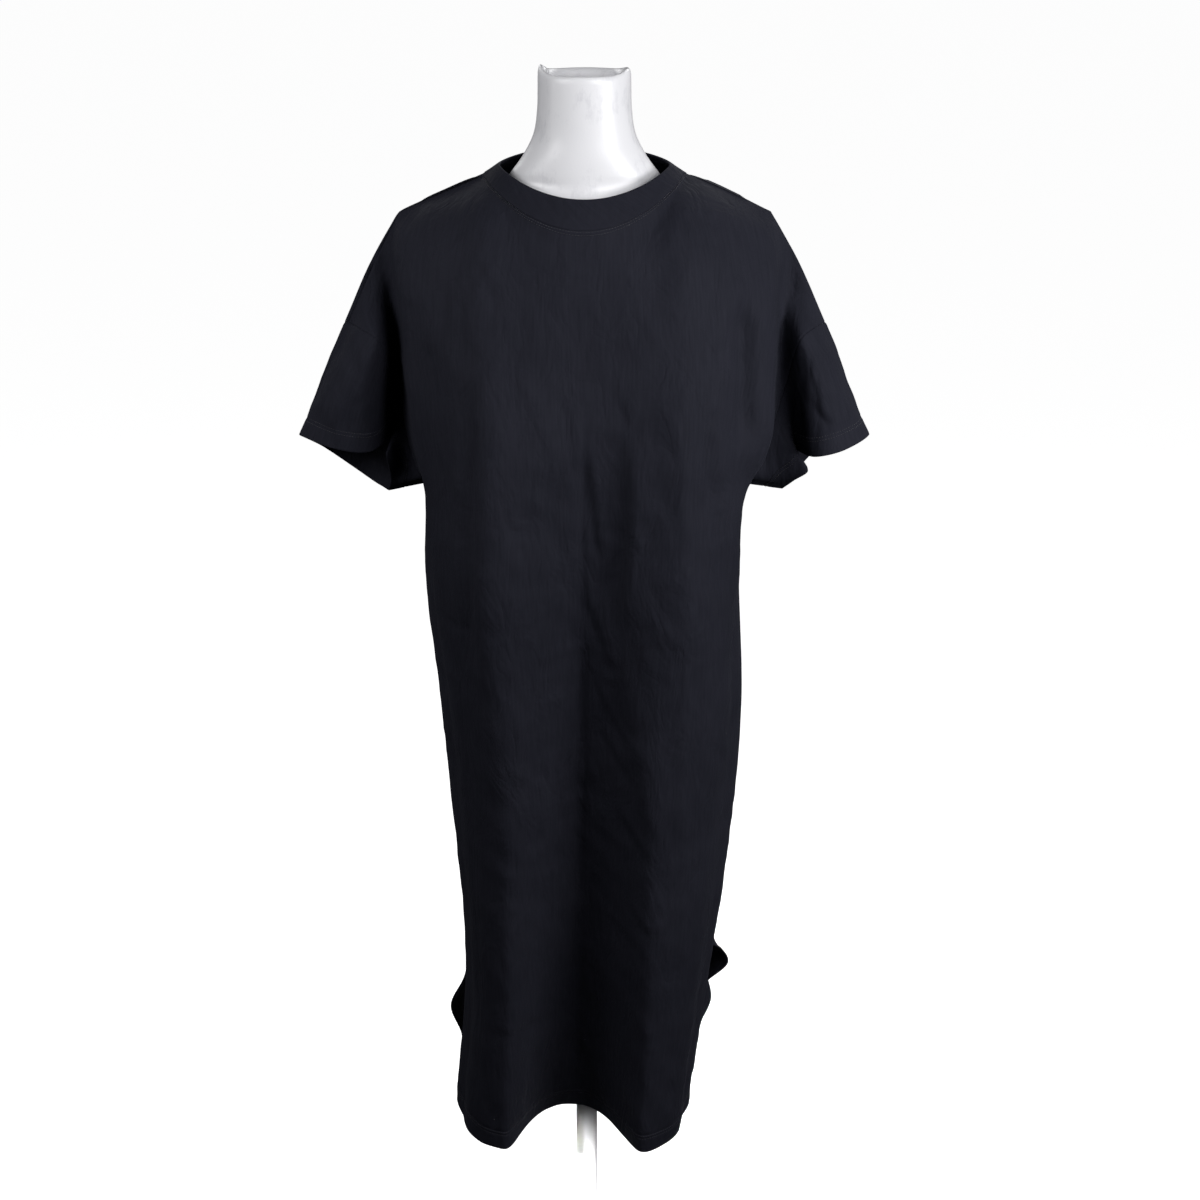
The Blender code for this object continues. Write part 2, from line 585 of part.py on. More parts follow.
def build_stand(finish):
    """Turned base with its boss, and the pole up to the form's underside."""
    bevel = 0.002
    base = [(BASE_RADIUS - bevel, 0), (BASE_RADIUS, bevel), (BASE_RADIUS, BASE_THICK - bevel),
            (BASE_RADIUS - bevel, BASE_THICK), (BOSS_RADIUS + bevel, BASE_THICK + bevel),
            (BOSS_RADIUS, BASE_THICK + 2 * bevel), (BOSS_RADIUS, BOSS_HEIGHT - bevel),
            (BOSS_RADIUS - bevel, BOSS_HEIGHT)]
    add_object("stand_base", *turned(base, 40), finish)
    pole = [(POLE_RADIUS, BOSS_HEIGHT + PART_GAP), (POLE_RADIUS, FORM_BOTTOM - PART_GAP)]
    add_object("stand_pole", *turned(pole, 16), finish)


def build_dress(form, jersey, rib):
    front = panel_grid(0)
    back = panel_grid(1)
    join_seams(front, back)
    clear = CLOTH + REST_GAP
    off_the_form(front, form, clear)
    off_the_form(back, form, clear)
    join_seams(front, back)
    band = band_grid(front, back)
    off_the_form(band, form, BAND_CLOTH - BAND_PROUD + REST_GAP)
    band[0] = band_grid(front, back)[0]
    grids = {
        "front": (front, False),
        "back": (back, True),
        "sleeve_left": (sleeve_grid(front, back, -1), False),
        "sleeve_right": (sleeve_grid(front, back, 1), True),
        "neckband": (band, False),
    }
    normals = shared_normals(grids)
    seams = {"front": ("left", "right", "high"), "back": ("left", "right", "high"),
             "sleeve_left": ("low",), "sleeve_right": ("low",), "neckband": ("low",)}
    for name, (grid, flip) in grids.items():
        proud, thick = (BAND_PROUD, BAND_CLOTH) if name == "neckband" else (0.0, CLOTH)
        outer = grid + normals[name] * proud
        inner = grid - normals[name] * (thick - proud)
        draw_back(outer, inner, seams[name], SEAM_GAP / 2)
        ring = name not in ("front", "back")
        if ring:
            outer[:, -1] = outer[:, 0]
            inner[:, -1] = inner[:, 0]
        add_object(name, *wall(outer, inner, flip, ring), rib if ring and name == "neckband" else jersey)


def main():
    for old in list(bpy.data.objects):
        bpy.data.objects.remove(old)
    plaster = material("form_white", (0.80, 0.80, 0.82), 0.45)
    enamel = material("stand_white", (0.78, 0.78, 0.79), 0.35)
    jersey = material("black_jersey", (0.012, 0.012, 0.016), 0.85)
    rib = material("black_rib", (0.011, 0.011, 0.014), 0.9)
    points, faces = form_mesh()
    add_object("dress_form", points, faces, plaster)
    build_stand(enamel)
    build_dress(form_tree(points, faces), jersey, rib)


main()
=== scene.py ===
# A black jersey dress hanging on a white dress form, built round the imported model.
# Metres, +Z up. The front of the dress faces -Y.
import math

import bpy
import numpy as np
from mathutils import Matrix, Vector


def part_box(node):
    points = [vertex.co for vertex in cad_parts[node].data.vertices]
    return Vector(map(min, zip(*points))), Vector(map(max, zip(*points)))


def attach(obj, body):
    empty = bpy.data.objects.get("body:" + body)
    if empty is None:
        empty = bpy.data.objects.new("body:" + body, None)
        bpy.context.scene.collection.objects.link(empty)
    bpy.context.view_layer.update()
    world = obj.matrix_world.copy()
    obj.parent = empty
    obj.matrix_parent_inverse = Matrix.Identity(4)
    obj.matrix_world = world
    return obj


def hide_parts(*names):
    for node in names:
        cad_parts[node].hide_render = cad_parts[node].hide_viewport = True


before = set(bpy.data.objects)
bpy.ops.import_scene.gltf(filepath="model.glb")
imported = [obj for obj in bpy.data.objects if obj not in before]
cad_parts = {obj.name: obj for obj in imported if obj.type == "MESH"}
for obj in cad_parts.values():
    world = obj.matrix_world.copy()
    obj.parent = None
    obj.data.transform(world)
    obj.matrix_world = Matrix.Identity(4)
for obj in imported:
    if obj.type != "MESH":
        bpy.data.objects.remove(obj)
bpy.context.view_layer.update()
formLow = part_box("dress_form")[0]
baseLow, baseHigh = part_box("stand_base")
poleLow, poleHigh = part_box("stand_pole")
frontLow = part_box("front")[0]
print("stage: frame loaded,", len(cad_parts), "nodes")


# Shared helpers

def table(columns, rows):
    # A dictionary of arrays, one for each named column
    return dict(zip(columns.split(), np.array(rows, float).T))


def unit(vectors):
    # Each vector divided by its length
    return vectors / np.maximum(np.linalg.norm(vectors, axis=-1, keepdims=True), 1e-12)


def smoothStep(t):
    # 3 t^2 - 2 t^3
    return t * t * (3 - 2 * t)


def hermite(t, start, leave, end, arrive):
    # Cubic from start to end that leaves and arrives with these slopes
    return ((2 * t**3 - 3 * t**2 + 1) * start + (t**3 - 2 * t**2 + t) * leave
            + (3 * t**2 - 2 * t**3) * end + (t**3 - t**2) * arrive)


def curveThrough(knots, values, at):
    # Cubic Hermite curve: each knot's slope is the chord between its two neighbours
    knots = np.asarray(knots, float)
    values = np.asarray(values, float)
    at = np.asarray(at, float)
    slopes = np.empty_like(values)
    slopes[1:-1] = ((values[2:] - values[:-2]).T / (knots[2:] - knots[:-2])).T
    slopes[0] = (values[1] - values[0]) / (knots[1] - knots[0])
    slopes[-1] = (values[-1] - values[-2]) / (knots[-1] - knots[-2])
    span = np.clip(np.searchsorted(knots, at, side="right") - 1, 0, len(knots) - 2)
    width = knots[span + 1] - knots[span]
    t = (at - knots[span]) / width
    if values.ndim > 1:
        t = t.reshape(t.shape + (1,) * (values.ndim - 1))
        width = width.reshape(t.shape)
    return hermite(t, values[span], width * slopes[span], values[span + 1], width * slopes[span + 1])


def smoothNoise(seed, x, y, cells=64):
    # Cubic interpolation between random heights on a square lattice, from -1 to 1
    heights = np.random.default_rng(seed).uniform(-1, 1, (cells, cells))
    column, row = np.floor(x).astype(int), np.floor(y).astype(int)
    tx, ty = smoothStep(x - column), smoothStep(y - row)
    near, far = column % cells, (column + 1) % cells
    low, high = row % cells, (row + 1) % cells
    bottom = heights[low, near] * (1 - tx) + heights[low, far] * tx
    top = heights[high, near] * (1 - tx) + heights[high, far] * tx
    return bottom * (1 - ty) + top * ty


def surfaceNormals(grid, ring=False, flip=False):
    # Cross product of the grid's two central differences, at unit length
    if ring:
        padded = np.concatenate([grid[:, -2:-1], grid, grid[:, 1:2]], axis=1)
        across = np.gradient(padded, axis=1)[:, 1:-1]
    else:
        across = np.gradient(grid, axis=1)
    return unit(np.cross(across, np.gradient(grid, axis=0))) * (-1 if flip else 1)


def addMesh(name, points, faces, finish, uv=None, creaseDegrees=None):
    # A mesh object at the origin from arrays of points and four-cornered faces
    mesh = bpy.data.meshes.new(name)
    mesh.vertices.add(len(points))
    mesh.vertices.foreach_set("co", np.asarray(points, np.float32).ravel())
    mesh.loops.add(faces.size)
    mesh.loops.foreach_set("vertex_index", np.ascontiguousarray(faces, np.int32).ravel())
    mesh.polygons.add(len(faces))
    mesh.polygons.foreach_set("loop_start", np.arange(0, faces.size, faces.shape[1], dtype=np.int32))
    if uv is not None:
        layer = mesh.uv_layers.new(name="cut")
        layer.uv.foreach_set("vector", np.asarray(uv, np.float32)[faces.ravel()].ravel())
    mesh.materials.append(finish)
    mesh.update(calc_edges=True)
    mesh.validate()
    mesh.shade_smooth()
    if creaseDegrees:
        mesh.set_sharp_from_angle(angle=math.radians(creaseDegrees))
    piece = bpy.data.objects.new(name, mesh)
    bpy.context.scene.collection.objects.link(piece)
    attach(piece, "root")
    return piece


def gridFaces(rows, columns, ring=False):
    # Corner numbers of a grid's quads, a ring's last column joined to its first
    number = np.arange(rows * columns).reshape(rows, columns)
    if ring:
        number = np.concatenate([number, number[:, :1]], axis=1)
    corners = [number[:-1, :-1], number[:-1, 1:], number[1:, 1:], number[1:, :-1]]
    return np.stack(corners, axis=-1).reshape(-1, 4)


# Materials

def newMaterial(name, **sockets):
    # A Principled material with its constant values set on the shader's own sockets
    made = bpy.data.materials.new(name)
    made.use_nodes = True
    shader = made.node_tree.nodes["Principled BSDF"]
    for socket, value in sockets.items():
        shader.inputs[socket.replace("_", " ")].default_value = value
    return made, made.node_tree, shader


def addNode(tree, kind, links=(), **values):
    # A node with its properties or sockets set, and (from socket, to socket name) links made
    node = tree.nodes.new(kind)
    for key, value in values.items():
        name = key.replace("_", " ")
        if name in node.inputs:
            node.inputs[name].default_value = value
        else:
            setattr(node, key, value)
    for source, target in links:
        tree.links.new(source, node.inputs[target])
    return node


def mathNode(tree, operation, first, second=None):
    # One step of arithmetic between two sockets or numbers
    node = tree.nodes.new("ShaderNodeMath")
    node.operation = operation
    for place, value in enumerate((first, second)):
        if value is None:
            continue
        if isinstance(value, (int, float)):
            node.inputs[place].default_value = value
        else:
            tree.links.new(value, node.inputs[place])
    return node.outputs[0]


def rampNode(tree, factor, stops):
    # A colour ramp through (place, colour) stops
    node = tree.nodes.new("ShaderNodeValToRGB")
    tree.links.new(factor, node.inputs[0])
    ramp = node.color_ramp
    while len(ramp.elements) < len(stops):
        ramp.elements.new(1.0)
    for element, (place, colour) in zip(ramp.elements, stops):
        element.position = place
        element.color = (*colour, 1)
    return node.outputs[0]


def weighted(tree, *parts):
    # Sum of sockets, each times its weight
    total = None
    for socket, weight in parts:
        part = mathNode(tree, "MULTIPLY", socket, weight)
        total = part if total is None else mathNode(tree, "ADD", total, part)
    return total


def noise(tree, vector, **values):
    # Blender's noise at a vector, from 0 to 1
    return addNode(tree, "ShaderNodeTexNoise", [(vector, "Vector")], **values).outputs["Fac"]


def mapped(tree, vector, **values):
    # A vector stretched or turned
    return addNode(tree, "ShaderNodeMapping", [(vector, "Vector")], **values).outputs[0]


def addBump(tree, height, target, strength, distance):
    # Bump from a height, linked to the Normal socket of the shader or of another bump
    bump = addNode(tree, "ShaderNodeBump", [(height, "Height")], Strength=strength, Distance=distance)
    tree.links.new(bump.outputs[0], target.inputs["Normal"])
    return bump


def addWear(tree, shader, uneven, roughness, by):
    # Roughness that changes with a noise: by * noise + roughness - by / 2
    worn = mathNode(tree, "ADD", mathNode(tree, "MULTIPLY", uneven, by), roughness - by / 2)
    tree.links.new(worn, shader.inputs["Roughness"])


jerseyLook = {
    "dark": (0.0098, 0.0104, 0.0170),       # the dyed cotton
    "pale": (0.0150, 0.0156, 0.0240),       # where the nap has lifted
    "cloudsPerMetre": 9.0,
    "lint": (0.22, 0.22, 0.24),
    "specksPerMetre": 38.0,
    "speckSize": 0.018,                     # share of the specks' spacing
    "speckless": 0.93,                      # share of the specks' places that stay empty
    "roughness": 0.82,
    "specular": 0.14,
    "sheen": 0.035,
    "sheenRoughness": 0.35,
    "sheenTint": (0.74, 0.78, 1.0, 1.0),
    "walesPerMetre": 900,                   # vertical ribs of knit stitches
    "walesWander": 5.0,
    "coursesPerMetre": 1250,
    "knitDepth": 0.00012,
    "fuzzPerMetre": 1400.0,
    "slubsPerMetre": (420.0, 26.0, 1.0),
    "wrinklesPerMetre": (34.0, 30.0, 13.0),
    "wrinkleSlant": 0.7,
    "wrinkleDepth": 0.0044,
}
ribLook = {**jerseyLook, "walesPerMetre": 520, "knitDepth": 0.0003}


def makeJersey(name, look):
    # Knit: |sin| ribs down the cut and finer rows across it, broken by noise, as bump over slanting
    # |noise - 0.5| wrinkles; lint as specks
    made, tree, shader = newMaterial(
        name, Roughness=look["roughness"], Specular_IOR_Level=look["specular"], Sheen_Weight=look["sheen"],
        Sheen_Roughness=look["sheenRoughness"], Sheen_Tint=look["sheenTint"])
    cut = addNode(tree, "ShaderNodeUVMap", uv_map="cut").outputs["UV"]
    place = addNode(tree, "ShaderNodeTexCoord").outputs["Object"]
    wander = noise(tree, cut, Scale=90.0, Detail=2.0)
    split = addNode(tree, "ShaderNodeSeparateXYZ", [(cut, "Vector")]).outputs
    wales = weighted(tree, (split["X"], math.pi * look["walesPerMetre"]), (wander, look["walesWander"]))
    wales = mathNode(tree, "ABSOLUTE", mathNode(tree, "SINE", wales))
    courses = mathNode(tree, "MULTIPLY", split["Y"], math.pi * look["coursesPerMetre"])
    courses = mathNode(tree, "ABSOLUTE", mathNode(tree, "SINE", courses))
    fuzz = noise(tree, place, Scale=look["fuzzPerMetre"], Detail=3.0)
    slub = noise(tree, mapped(tree, cut, Scale=look["slubsPerMetre"]), Scale=1.0, Detail=2.0)
    height = weighted(tree, (wales, 0.6), (courses, 0.25), (fuzz, 0.7), (slub, 0.9))
    bump = addBump(tree, height, shader, 0.75, look["knitDepth"])
    slanted = mapped(tree, place, Rotation=(0.0, look["wrinkleSlant"], 0.0), Scale=look["wrinklesPerMetre"])
    wrinkle = noise(tree, slanted, Scale=1.0, Detail=3.0, Roughness=0.55, Distortion=0.7)
    wrinkle = mathNode(tree, "ABSOLUTE", mathNode(tree, "SUBTRACT", wrinkle, 0.5))
    addBump(tree, wrinkle, bump, 1.0, look["wrinkleDepth"])
    cloud = noise(tree, place, Scale=look["cloudsPerMetre"], Detail=5.0)
    nap = weighted(tree, (cloud, 0.55), (slub, 0.45))
    colour = rampNode(tree, nap, [(0.35, look["dark"]), (0.65, look["pale"])])
    specks = addNode(tree, "ShaderNodeTexVoronoi", [(place, "Vector")], Scale=look["specksPerMetre"]).outputs
    chance = addNode(tree, "ShaderNodeSeparateXYZ", [(specks["Color"], "Vector")]).outputs["X"]
    lint = mathNode(tree, "MULTIPLY", mathNode(tree, "LESS_THAN", specks["Distance"], look["speckSize"]),
                    mathNode(tree, "GREATER_THAN", chance, look["speckless"]))
    mix = addNode(tree, "ShaderNodeMix", [(lint, 0), (colour, 6)], data_type="RGBA")
    mix.inputs[7].default_value = (*look["lint"], 1)
    tree.links.new(mix.outputs[2], shader.inputs["Base Color"])
    addWear(tree, shader, fuzz, look["roughness"], 0.12)
    return made


formLook = {
    "white": (0.83, 0.83, 0.86),
    "smudge": (0.66, 0.66, 0.70),
    "roughness": 0.34,
    "specular": 0.45,
    "coat": 0.12,
    "coatRoughness": 0.25,
    "mottlesPerMetre": 26.0,
    "scuffsPerMetre": (120.0, 120.0, 38.0),
}


def makeFormWhite(name, look):
    # Satin white skin: cloudy smudges and small scuffs in its colour, orange peel as bump
    made, tree, shader = newMaterial(
        name, Roughness=look["roughness"], Specular_IOR_Level=look["specular"], Coat_Weight=look["coat"],
        Coat_Roughness=look["coatRoughness"])
    place = addNode(tree, "ShaderNodeTexCoord").outputs["Object"]
    cloud = noise(tree, place, Scale=look["mottlesPerMetre"], Detail=6.0, Roughness=0.62)
    scuff = mapped(tree, place, Scale=look["scuffsPerMetre"])
    scuff = noise(tree, scuff, Scale=1.0, Detail=4.0, Roughness=0.7)
    marks = weighted(tree, (cloud, 0.6), (scuff, 0.4))
    colour = rampNode(tree, marks, [(0.30, look["smudge"]), (0.47, look["white"])])
    tree.links.new(colour, shader.inputs["Base Color"])
    addWear(tree, shader, cloud, look["roughness"], 0.2)
    addBump(tree, noise(tree, place, Scale=420.0, Detail=2.0), shader, 0.25, 0.0003)
    return made


standLook = {"white": (0.80, 0.80, 0.82), "chip": (0.55, 0.55, 0.57), "roughness": 0.42, "specular": 0.5}


def makeEnamel(name, look):
    # Powder-coated steel: fine speckled bump, with a few rubbed spots
    made, tree, shader = newMaterial(name, Roughness=look["roughness"], Specular_IOR_Level=look["specular"])
    place = addNode(tree, "ShaderNodeTexCoord").outputs["Object"]
    rub = noise(tree, place, Scale=55.0, Detail=8.0, Roughness=0.75)
    colour = rampNode(tree, rub, [(0.24, look["chip"]), (0.31, look["white"])])
    tree.links.new(colour, shader.inputs["Base Color"])
    powder = noise(tree, place, Scale=900.0, Detail=2.0)
    addBump(tree, powder, shader, 0.35, 0.0002)
    addWear(tree, shader, powder, look["roughness"], 0.16)
    return made


threadLook = {"colour": (0.017, 0.017, 0.024), "strandsPerMetre": 900.0, "roughness": 0.6, "sheen": 0.2,
              "specular": 0.35}


def makeThread(name, look):
    # Spun thread: slanting strands along its length as bump, and painted shade that darkens the colour where
    # the bump sinks between the strands
    made, tree, shader = newMaterial(
        name, Roughness=look["roughness"], Sheen_Weight=look["sheen"], Specular_IOR_Level=look["specular"])
    place = addNode(tree, "ShaderNodeTexCoord").outputs["Object"]
    twist = addNode(tree, "ShaderNodeTexWave", [(place, "Vector")], bands_direction="DIAGONAL",
                    Scale=look["strandsPerMetre"]).outputs["Fac"]
    # painted shade: the colour falls to 0.7 of the thread's own colour in the grooves between the strands,
    # following the same wave as the bump
    paintedGrooveShade = rampNode(tree, twist, [(0.0, tuple(0.7 * c for c in look["colour"])), (1.0, look["colour"])])
    tree.links.new(paintedGrooveShade, shader.inputs["Base Color"])
    addBump(tree, twist, shader, 0.5, 0.0001)
    return made


blackJersey = makeJersey("blackJersey", jerseyLook)
blackRib = makeJersey("blackRib", ribLook)
formWhite = makeFormWhite("formWhite", formLook)
standWhite = makeEnamel("standWhite", standLook)
blackThread = makeThread("blackThread", threadLook)
print("stage: materials made")


# The dress form and its stand

form = {"sides": 160, "levels": 210, "neckTop": 1.507, "rimLift": 0.006}
formSizes = table("z halfWidth front back square", [
    (0.74, 0.12, 0.062, 0.074, 2.3),
    (0.746, 0.133, 0.072, 0.086, 2.3),
    (0.775, 0.142, 0.076, 0.096, 2.3),
    (0.83, 0.145, 0.079, 0.098, 2.3),
    (0.9, 0.138, 0.082, 0.088, 2.3),
    (0.96, 0.127, 0.086, 0.077, 2.3),
    (1.01, 0.124, 0.09, 0.072, 2.3),
    (1.06, 0.13, 0.1, 0.075, 2.3),
    (1.11, 0.143, 0.117, 0.082, 2.3),
    (1.155, 0.154, 0.125, 0.088, 2.3),
    (1.2, 0.163, 0.117, 0.093, 2.3),
    (1.25, 0.173, 0.102, 0.095, 2.3),
    (1.3, 0.182, 0.089, 0.093, 2.2),
    (1.335, 0.184, 0.078, 0.085, 2.1),
    (1.352, 0.178, 0.07, 0.079, 1.95),
    (1.366, 0.165, 0.063, 0.073, 1.75),
    (1.376, 0.145, 0.058, 0.069, 1.6),
    (1.387, 0.116, 0.054, 0.065, 1.55),
    (1.397, 0.086, 0.051, 0.061, 1.6),
    (1.408, 0.075, 0.051, 0.059, 1.85),
    (1.424, 0.0634, 0.051, 0.057, 2),
    (1.445, 0.053, 0.05, 0.054, 2),
    (1.47, 0.049, 0.0495, 0.051, 2),
    (1.496, 0.0482, 0.049, 0.049, 2),
])
# The rim of the neck: share of the neck's size, depth below the top, and how far the lumps lift it
rimSizes = table("share drop lift", [
    (1, 0.008, 0.2),
    (0.995, 0.004, 0.6),
    (0.975, 0.0012, 0.9),
    (0.945, 0, 1),
    (0.905, 0.0004, 1),
    (0.865, 0.0022, 0.9),
    (0.835, 0.005, 0.6),
    (0.815, 0.0085, 0.2),
    (0.79, 0.01, 0.05),
    (0.6, 0.0104, 0),
    (0.3, 0.0106, 0),
    (0.01, 0.0106, 0),
])


def formSection(z):
    # The form's sizes at heights z, along smooth curves through the table
    z = np.clip(z, formSizes["z"][0], formSizes["z"][-1])
    columns = ("halfWidth", "front", "back", "square")
    return [curveThrough(formSizes["z"], formSizes[name], z) for name in columns]


def ovalRings(halfWidth, front, back, square, z, turn):
    # x = a sign(sin) |sin|^(2/n), y = b sign(cos) |cos|^(2/n), with its own reach to the front and back
    sine, cosine = np.sin(turn), np.cos(turn)
    power = 2 / square[:, None]
    x = halfWidth[:, None] * np.sign(sine) * np.abs(sine) ** power
    y = np.where(cosine > 0, back[:, None], front[:, None]) * np.sign(cosine) * np.abs(cosine) ** power
    return np.stack([x, y, np.broadcast_to(z if z.ndim > 1 else z[:, None], x.shape)], axis=-1)


def closedLoft(rings):
    # Quads between the rings, with both ends closed by rings that shrink to a point
    ends = [np.repeat(rings[place].mean(axis=0)[None, None], rings.shape[1], axis=1) for place in (0, -1)]
    rings = np.concatenate([ends[0] * 0.999 + rings[:1] * 0.001, rings, ends[1] * 0.999 + rings[-1:] * 0.001])
    return rings.reshape(-1, 3), gridFaces(*rings.shape[:2], ring=True)[:, ::-1]


def buildForm():
    # Rings up the body, then the neck's rim, whose two sides rise by |sin|^8 times a few uneven waves
    turn = np.linspace(0, 2 * math.pi, form["sides"], endpoint=False)
    top = formSizes["z"][-1] - 0.001
    z = formLow[2] + (top - formLow[2]) * np.linspace(0, 1, form["levels"])
    body = ovalRings(*formSection(z), z, turn)
    halfWidth, front, back, _ = formSection(np.array([top]))
    count = len(rimSizes["share"])
    wide = np.abs(np.sin(turn)) ** 8
    uneven = 1 + 0.22 * np.sin(3 * turn + 0.6) + 0.12 * np.sin(7 * turn)
    share = rimSizes["share"][:, None] * np.ones_like(turn)
    share = np.where(share < 0.9, share - 0.05 * wide * np.clip(share * 2 - 0.6, 0, 1), share)
    rise = form["rimLift"] * rimSizes["lift"][:, None] * wide * uneven
    low = form["neckTop"] - rimSizes["drop"][:, None]
    rim = ovalRings(np.repeat(halfWidth, count), np.repeat(front, count), np.repeat(back, count),
                    np.full(count, 2.0), low + rise, turn)
    rim[..., :2] *= share[..., None]
    points, faces = closedLoft(np.concatenate([body, rim]))
    return addMesh("form_body", points, faces[:, ::-1], formWhite, creaseDegrees=70)


def turnedPiece(name, profile, sides, finish):
    # A closed shape turned about Z from (radius, height) pairs, bottom to top
    turn = np.linspace(0, 2 * math.pi, sides, endpoint=False)
    radius, height = np.array(profile, float).T
    rings = np.stack([radius[:, None] * np.sin(turn), radius[:, None] * np.cos(turn),
                      np.broadcast_to(height[:, None], (len(height), sides))], axis=-1)
    points, faces = closedLoft(rings)
    return addMesh(name, points, faces[:, ::-1], finish, creaseDegrees=40)


def roundedEdge(radius, height, bend, start, steps=6):
    # A quarter circle of radius bend centred at (radius, height), from the angle start in quarter turns
    angle = (start + np.linspace(0, 1, steps)) * math.pi / 2
    return [(radius + bend * math.cos(a), height + bend * math.sin(a)) for a in angle]


stand = {"edge": 0.0024, "thick": 0.008, "hollow": 0.02, "boss": 0.024, "fillet": 0.004,
         "collar": 0.0165, "collarHeight": 0.018, "collarEdge": 0.0015}


def buildStand():
    # A round base with a boss, and a pole with a collar under the form
    radius, thick, bend = baseHigh[0], stand["thick"], stand["edge"]
    fillet, boss, top = stand["fillet"], stand["boss"], baseHigh[2]
    profile = [(stand["hollow"], baseLow[2])]
    profile += roundedEdge(radius - bend, baseLow[2] + bend, bend, -1)
    profile += roundedEdge(radius - bend, thick - bend, bend, 0)
    profile += [(boss + fillet + fillet * math.cos(a), thick + fillet + fillet * math.sin(a))
                for a in np.linspace(-math.pi / 2, -math.pi, 6)]
    profile += roundedEdge(boss - bend, top - bend, bend, 0)
    base = turnedPiece("form_base", profile, 128, standWhite)
    collar, bend, low = stand["collar"], stand["collarEdge"], poleHigh[2] - stand["collarHeight"]
    profile = [(poleHigh[0], poleLow[2]), (poleHigh[0], low)]
    profile += roundedEdge(collar - bend, low + bend, bend, -1)
    profile += [(collar, poleHigh[2])]
    return base, turnedPiece("form_pole", profile, 64, standWhite)


formBody = buildForm()
formBase, formPole = buildStand()
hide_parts("dress_form")
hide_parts("stand_base")
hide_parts("stand_pole")
print("stage: form and stand built")


# The dress as one surface, cut into its panels

dress = {
    "hem": frontLow[2],
    "slitTop": 0.495,
    "underarm": 1.065,
    "hangsTo": 0.64,            # how far down the bust still draws the front forward
    "seamY": 0.010,             # depth at which the side seams hang
    "cloth": 0.0010,            # thickness of the jersey
    "hemCloth": 0.0018,         # of the turned hem
    "seamGap": 0.0003,
    "lining": 0.00002,          # how far the insides stay apart under each seam
    "restGap": 0.0008,          # from the form to the inside of the cloth
    "crumple": 0.0024,          # depth of the panels' random wrinkles
    "sleeveCrumple": 0.0020,
    "sleeveWave": 0.0012,
    "panelSeeds": (11, 18),
    "sleeveSeeds": (41, 52),
    "tubeRows": 150,
    "upperRows": 84,
    "shoulderCrowding": 1.3,
    "sleeveRows": 40,
    "bandRows": 18,
    "slitGape": 0.050,
    "hemStitch": (0.0190, 0.0228),
    "cuffStitch": (0.0185, 0.0223),
    "slitStitch": 0.0080,
    "neckStitch": (0.0016, 0.0052),
}
relief = {
    "hemRise": 0.0003,
    "riseEnd": 0.001,           # the length over which a rise falls to nothing
    "hemPast": (0.0008, 0.0006),        # how far past its stitching a turning ends, and over what length
    "slitPast": (0.0012, 0.0008),       # the same past the slit's stitching
    "slitAbove": 0.004,         # how far above its top the slit's finish goes on
    "stitchDepth": 0.00045,
    "stitchWidth": 0.0007,
    "slitDepth": 0.0004,
    "slitWidth": 0.0010,
    "seamDepth": 0.0007,
    "seamWidth": 0.0011,
    "shoulderWidth": 0.0012,
    "neckDepth": 0.0004,
    "neckRidge": (0.0034, 0.0007, 0.0016),      # distance from the seam, height and width
    "round": 0.0011,            # radius of a turned edge
    "slitRound": 0.0012,
    "bandRound": 0.0014,
    "band": 0.0018,             # thickness of the doubled rib
    "bandInside": 0.0016,       # room kept for it off the form, besides restGap
    "bandRise": 0.0005,
    "bandRoll": (0.004, 0.0002, 0.004),         # distance from the free edge, height and width
}
smoothing = {"acrossPasses": 8, "acrossUntil": 0.6, "bustPasses": 25, "bustRows": 9.0, "bustStrength": 0.9,
             "highPasses": 5, "highStrength": 0.8}
lines = {"mid": 0.0, "inner": 0.25, "outer": 0.5, "edge": 0.70, "valley": 0.85, "seam": 1.0}

# The hanging tube below the underarm: half width to each side, reach to the front and the back,
# how much wider each side grows for each metre towards the back, and superellipse exponent
tube = table("z left right front back leftSpread rightSpread square", [
    (0.3, 0.156, 0.122, 0.133, 0.205, 0.02, 0.2, 2.9),
    (0.465, 0.143, 0.142, 0.127, 0.175, 0.03, 0.15, 2.7),
    (0.56, 0.144, 0.155, 0.124, 0.158, 0.02, 0.05, 2.6),
    (0.69, 0.154, 0.17, 0.122, 0.14, 0, 0, 2.4),
    (0.81, 0.163, 0.177, 0.124, 0.126, 0, 0, 2.3),
    (0.95, 0.176, 0.171, 0.13, 0.114, 0, 0, 2.3),
    (1.065, 0.173, 0.166, 0.133, 0.108, 0, 0, 2.3),
])

# Vertical folds, placed from -1 at the left side seam to 1 at the right one; depth is outward
foldColumns = "atTop atHem starts depth left right leftFull rightFull power"
frontFolds = table(foldColumns, [
    (0, -0.015, 1.13, -0.106, 0.36, 0.3, 1, 0.4, 1.05),
    (-0.41, -0.5, 1.225, 0.022, 0.12, 0.4, 0, 0, 0.28),
    (0.42, 0.37, 1.225, 0.017, 0.3, 0.26, 0, 0, 0.34),
    (-0.41, -0.5, 1.225, -0.018, 0.12, 0.4, 0, 0, 3),
    (0.42, 0.37, 1.225, -0.012, 0.3, 0.26, 0, 0, 3),
    (-0.72, -0.78, 1.1, -0.006, 0.16, 0.16, 0, 0, 0.4),
    (0.76, 0.73, 1.06, -0.006, 0.15, 0.15, 0, 0, 0.4),
])
backFolds = table(foldColumns, [
    (-0.62, -0.52, 1.15, -0.03, 0.26, 0.24, 0.4, 0.4, 1),
    (-0.12, -0.06, 1.1, -0.036, 0.26, 0.26, 0.4, 0.4, 1.1),
    (0.34, 0.36, 1.16, -0.032, 0.22, 0.24, 0.4, 0.4, 1),
    (0.74, 0.72, 1.08, -0.022, 0.16, 0.16, 0.4, 0.4, 0.9),
])
